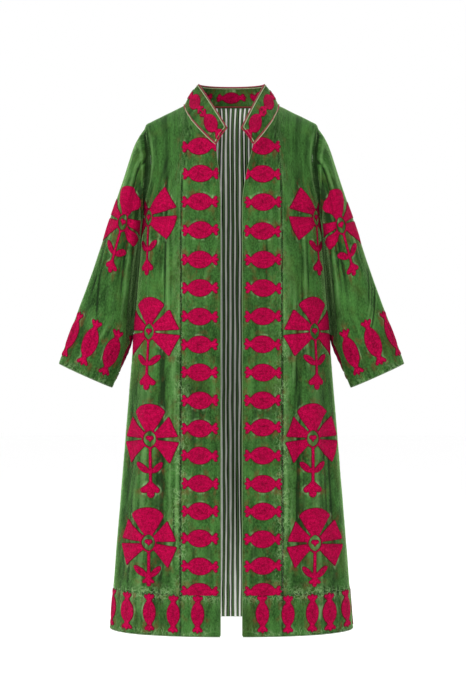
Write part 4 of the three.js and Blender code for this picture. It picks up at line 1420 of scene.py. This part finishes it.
def velvet_piece(
        name, grid, motifs, edges, wall=VELVET_WALL, stride=CLOTH_STRIDE, inner=BACKING):
    """A piece of velvet with its backing, marked where seams rub it and where sewing stains it."""
    grid = grid.thinned(stride)
    depth = sewn_depth(grid.flat, motifs)
    worn = np.zeros(depth.shape)
    for edge in edges:
        worn = np.maximum(worn, np.exp(-(edge(grid) / WORN_REACH) ** 2))
    worn *= mix(0.3, 1, ramp(-grid.points[..., 2], 350, 400))
    pitch = np.linalg.norm(np.diff(grid.points, axis=1), axis=2).mean()
    column = np.arange(grid.points.shape[1]) * pitch
    nap = np.stack(np.broadcast_arrays(column[None], grid.flat[..., 1]), axis=-1)
    stain = np.exp(-(np.maximum(0, -depth) / STAIN_REACH) ** 2)
    cloth_piece(
        name, grid, wall, [VELVET, inner],
        {"flat": grid.flat, "nap": nap}, {"worn": worn, "stain": stain, "painted_light": grid.painted_light})


def from_start(grid):
    return np.abs(grid.flat[..., 0] - grid.flat[:, :1, 0])


def from_end(grid):
    return np.abs(grid.flat[:, -1:, 0] - grid.flat[..., 0])


def from_foot(grid):
    return np.abs(grid.flat[..., 1] - grid.flat[:1, :, 1])


def from_top(grid):
    return np.abs(grid.flat[-1:, :, 1] - grid.flat[..., 1])


STITCH_PITCH, STITCH_LENGTH, STITCH_THICKNESS = 4.6, 3.0, 0.55


def stitch_tree():
    """Stitches of one size along every line of a mesh."""
    tree = bpy.data.node_groups.new("topstitch", "GeometryNodeTree")
    for name, kind, way in (
        ("Geometry", "NodeSocketGeometry", "INPUT"), ("Pitch", "NodeSocketFloat", "INPUT"),
        ("Length", "NodeSocketFloat", "INPUT"), ("Thickness", "NodeSocketFloat", "INPUT"),
        ("Thread", "NodeSocketMaterial", "INPUT"), ("Geometry", "NodeSocketGeometry", "OUTPUT"),
    ):
        tree.interface.new_socket(name=name, in_out=way, socket_type=kind)

    def node(kind, settings=None, **sockets):
        return add_node(tree, kind, settings, sockets)

    given = node("NodeGroupInput")
    line = node("GeometryNodeMeshToCurve", Mesh=given["Geometry"])["Curve"]
    spots = node("GeometryNodeCurveToPoints", {"mode": "LENGTH"}, Curve=line, Length=given["Pitch"])
    ball = node("GeometryNodeMeshUVSphere", Segments=6, Rings=4, Radius=0.5)["Mesh"]
    varied = add_node(tree, "FunctionNodeRandomValue", sockets={"Seed": 7, 2: 0.8, 3: 1.15})[1]
    length = add_node(
        tree, "ShaderNodeMath", {"operation": "MULTIPLY"}, {0: given["Length"], 1: varied})[0]
    thick = given["Thickness"]
    size = node("ShaderNodeCombineXYZ", X=thick, Y=thick, Z=length)["Vector"]
    turned = node("FunctionNodeAlignRotationToVector", {"axis": "Z"}, Vector=spots["Tangent"])
    placed = node(
        "GeometryNodeInstanceOnPoints", Points=spots["Points"], Instance=ball,
        Rotation=turned["Rotation"], Scale=size)
    real = node("GeometryNodeRealizeInstances", Geometry=placed["Instances"])["Geometry"]
    smooth = node("GeometryNodeSetShadeSmooth", Geometry=real)["Geometry"]
    threaded = node("GeometryNodeSetMaterial", Geometry=smooth, Material=given["Thread"])
    add_node(tree, "NodeGroupOutput", sockets={0: threaded["Geometry"]})
    return tree


STITCHING = stitch_tree()


def topstitch(name, lines):
    """Stitches along lines of points, half sunk in the cloth."""
    points = np.concatenate(lines)
    edges, start = [], 0
    for line in lines:
        edges += [(start + k, start + k + 1) for k in range(len(line) - 1)]
        start += len(line)
    mesh = bpy.data.meshes.new(name + "_line")
    mesh.from_pydata((points * MM).tolist(), edges, [])
    guide = linked(name, mesh)
    sewing = guide.modifiers.new("sewing", "NODES")
    sewing.node_group = STITCHING
    sizes = {
        "Pitch": STITCH_PITCH * MM, "Length": STITCH_LENGTH * MM,
        "Thickness": STITCH_THICKNESS * MM, "Thread": GREEN_THREAD,
    }
    for item in STITCHING.interface.items_tree:
        if item.in_out == "INPUT" and item.name in sizes:
            sewing[item.identifier] = sizes[item.name]
    shown = guide.evaluated_get(bpy.context.evaluated_depsgraph_get())
    sewn = bpy.data.meshes.new_from_object(shown)
    guide.modifiers.remove(sewing)
    guide.data = sewn
    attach(guide, "root")


def along_cloth(grid, row=None, column=None, out=0.0):
    """A line of points on a grid, between its rows or columns, raised along its normals."""
    at = row if row is not None else column
    low = int(math.floor(at))
    share = at - low
    if row is not None:
        last = len(grid.points) - 1
        a, b, n = grid.points[low], grid.points[min(low + 1, last)], grid.normals[low]
    else:
        last = grid.points.shape[1] - 1
        a, b = grid.points[:, low], grid.points[:, min(low + 1, last)]
        n = grid.normals[:, low]
    return mix(a, b, share) + n * out


def beyond(edge, inner, far):
    """An edge moved outwards, away from the row inside it."""
    return edge + unit(edge - inner) * far


fronts = {side: front_grid(side) for side in SIDES}
back = back_grid()
sleeves = {side: sleeve_grid(side, fronts[side], back) for side in SIDES}
collar = collar_grid(fronts, back)

BODY_ROWS, HEM = (HEM_ROWS, TOP_ROW), (0, HEM_ROWS)
BAND, SIDE = (0, BAND_COLUMNS), (BAND_COLUMNS, FRONT_COLUMNS)
ALL_BACK = (0, 2 * HALF_BACK)

for side in SIDES:
    front, motifs, borders = fronts[side], front_motifs(side), hem_motifs(side)
    band, panel, hem = f"front_band_{side}", f"front_side_{side}", f"hem_front_{side}"
    velvet_piece(
        band, front.part(BODY_ROWS, BAND), motifs, (from_end, from_foot))
    velvet_piece(
        panel, front.part(BODY_ROWS, SIDE), motifs,
        (from_start, from_foot))
    hem_grid = front.part(HEM, (0, FRONT_COLUMNS))
    velvet_piece(hem, hem_grid, borders, (from_foot, from_top))
    embroider(f"embroidery_front_{side}", front.part(BODY_ROWS, (0, FRONT_COLUMNS)), motifs)
    embroider(f"embroidery_hem_{side}", hem_grid, borders)
    sleeve, motifs = sleeves[side], sleeve_motifs(side)
    velvet_piece(f"sleeve_{side}", sleeve, motifs, (from_top,))
    embroider(f"embroidery_sleeve_{side}", sleeve, motifs)

back_body, back_hem = back.part(BODY_ROWS, ALL_BACK), back.part(HEM, ALL_BACK)
velvet_piece(
    "back", back_body, back_motifs(),
    (from_foot,))
embroider("embroidery_back", back_body, back_motifs())
borders = back_hem_motifs(back.flat[0, -1, 0])
velvet_piece(
    "hem_back", back_hem, borders, (from_foot, from_top))
embroider("embroidery_hem_back", back_hem, borders)

velvet_piece(
    "collar", collar, collar_motifs(), (),
    COLLAR_WALL, 1, VELVET)
embroider("embroidery_collar", collar, collar_motifs(), COLLAR_WALL)
embroider("embroidery_collar_inside", collar.turned_in(), inner_collar_motifs(), COLLAR_WALL)

sheet = back.thinned(LINING_STRIDE)
cloth_piece(
    "lining_back", sheet, LINING_WALL, [LINING],
    {"flat": sheet.flat}, {"painted_light": -sheet.painted_light},
    -(VELVET_WALL + LINING_WALL) / 2 - LINING_GAP)

# Cords
EDGE_PIPING_OUT = PIPING_RADIUS * 0.55
top = beyond(collar.points[-1], collar.points[-2], EDGE_PIPING_OUT)
starts = beyond(collar.points[:-1, 0], collar.points[:-1, 1], EDGE_PIPING_OUT)
ends = beyond(collar.points[:-1, -1], collar.points[:-1, -2], EDGE_PIPING_OUT)
edge = np.concatenate([starts, top, ends[::-1]])
cord("piping_collar_edge", edge, PIPING_RADIUS, RED_CORD, stands_for="cord_collar_edge")
seam = along_cloth(collar, row=0.9, out=COLLAR_WALL / 2 + PIPING_RADIUS * 0.6)
cord("piping_neck_seam", seam, PIPING_RADIUS, RED_CORD, stands_for="cord_neck_seam")

for face, name in ((1, "outside"), (-1, "inside")):
    out = face * (COLLAR_WALL / 2 + PALE_PIPING_RADIUS * 0.35)
    upper = along_cloth(collar, row=COLLAR_ROWS - 1.15, out=out)[2:-2]
    first, last = (along_cloth(collar, column=c, out=out)[:COLLAR_ROWS - 1] for c in (1, -2))
    line = np.concatenate([first, upper, last[::-1]])
    cord(f"pale_line_collar_{name}", line, PALE_PIPING_RADIUS, PALE_CORD)
inner = along_cloth(collar, row=0.6, out=-COLLAR_WALL / 2 - PIPING_RADIUS * 0.5)
cord("piping_neck_inside", inner, PIPING_RADIUS * 0.9, RED_CORD)
right, behind, left = (
    along_cloth(grid, row=TOP_ROW - 6, out=VELVET_WALL / 2 + PALE_PIPING_RADIUS * 0.7)
    for grid in (fronts["right"], back, fronts["left"]))
neck = np.concatenate([
    right[:BAND_COLUMNS],
    behind[HALF_BACK - NECK_COLUMNS + 1:HALF_BACK + NECK_COLUMNS],
    left[BAND_COLUMNS - 1::-1],
])
cord("pale_line_neck", neck, PALE_PIPING_RADIUS, PALE_CORD)


def worn_edge(name, edge, inner, normals):
    """A turned edge, where the pile is worn off."""
    line = beyond(edge, inner, WORN_EDGE_OUT) + normals * WORN_EDGE_RISE
    cord(f"worn_{name}", line, WORN_EDGE_RADIUS, WORN_EDGE)


for side in SIDES:
    front, sleeve = fronts[side], sleeves[side]
    from_hem = front.part((1, TOP_ROW - 2), (0, 1))
    worn_edge(
        f"front_edge_{side}", from_hem.points[:, 0], from_hem.points[:, 1], from_hem.normals[:, 0])
    worn_edge(f"cuff_edge_{side}", sleeve.points[-1], sleeve.points[-2], sleeve.normals[-1])
    worn_edge(f"hem_edge_{side}", front.points[0], front.points[1], front.normals[0])
worn_edge("hem_edge_back", back.points[0], back.points[1], back.normals[0])


# Stitches
SUNK = VELVET_WALL / 2 + 0.05
HEM_STITCH_ROWS = (2, HEM_ROWS + 1.6, HEM_ROWS - 1.6)
for side in SIDES:
    front, sleeve = fronts[side], sleeves[side]
    columns = ((2, 2), (BAND_COLUMNS - 1.4, HEM_ROWS), (BAND_COLUMNS + 1.2, HEM_ROWS))
    upright = [along_cloth(front, column=at, out=SUNK)[start:] for at, start in columns]
    level = [along_cloth(front, row=row, out=SUNK) for row in HEM_STITCH_ROWS]
    topstitch(f"topstitch_front_{side}", upright + level)
    topstitch(f"topstitch_sleeve_{side}", [
        along_cloth(sleeve, row=row, out=SUNK) for row in (2.5, SLEEVE_ROWS - 2)])
topstitch("topstitch_back", [
    along_cloth(back, row=row, out=VELVET_WALL / 2) for row in HEM_STITCH_ROWS])

# Camera, light and floor, in metres
EYE = (0.00345, -4.0, -0.561)
FLOOR_Z, FLOOR_HALF = -1.45, 14.0

scene = bpy.context.scene
lens = bpy.data.cameras.new("camera")
lens.lens, lens.sensor_width = 89.43, 36
camera = linked("camera", lens)
camera.location = EYE
camera.rotation_euler = (math.radians(90), 0, 0)
scene.camera = camera
scene.view_settings.view_transform = "Standard"

world = bpy.data.worlds.new("studio")
world.use_nodes = True
world.node_tree.nodes["Background"].inputs["Color"].default_value = (1, 1, 1, 1)
world.node_tree.nodes["Background"].inputs["Strength"].default_value = 1.0
scene.world = world


def softbox(name, place, aim, width, height, power):
    lamp = bpy.data.lights.new(name, "AREA")
    lamp.shape, lamp.size, lamp.size_y, lamp.energy = "RECTANGLE", width, height, power
    box = linked(name, lamp)
    box.location = place
    box.rotation_euler = (Vector(aim) - Vector(place)).to_track_quat("-Z", "Y").to_euler()


softbox("front", (-0.5, -4.9, 0.1), (0, 0, -0.55), 2.6, 2.2, 96)
softbox("side", (-3.0, -2.2, 1.5), (0, 0, -0.5), 1.2, 2.0, 62)
softbox("above", (0.4, 1.8, 2.4), (0, 0, -0.2), 2.4, 1.2, 40)

floor_mesh = bpy.data.meshes.new("floor")
corners = [
    (x * FLOOR_HALF, y * FLOOR_HALF, FLOOR_Z) for x, y in ((-1, -1), (1, -1), (1, 1), (-1, 1))]
floor_mesh.from_pydata(corners, [], [(0, 1, 2, 3)])
paint = Finish("white_floor", {"Base Color": (0.99, 0.99, 0.99, 1), "Roughness": 0.9})
floor_mesh.materials.append(paint.material)
linked("floor", floor_mesh)
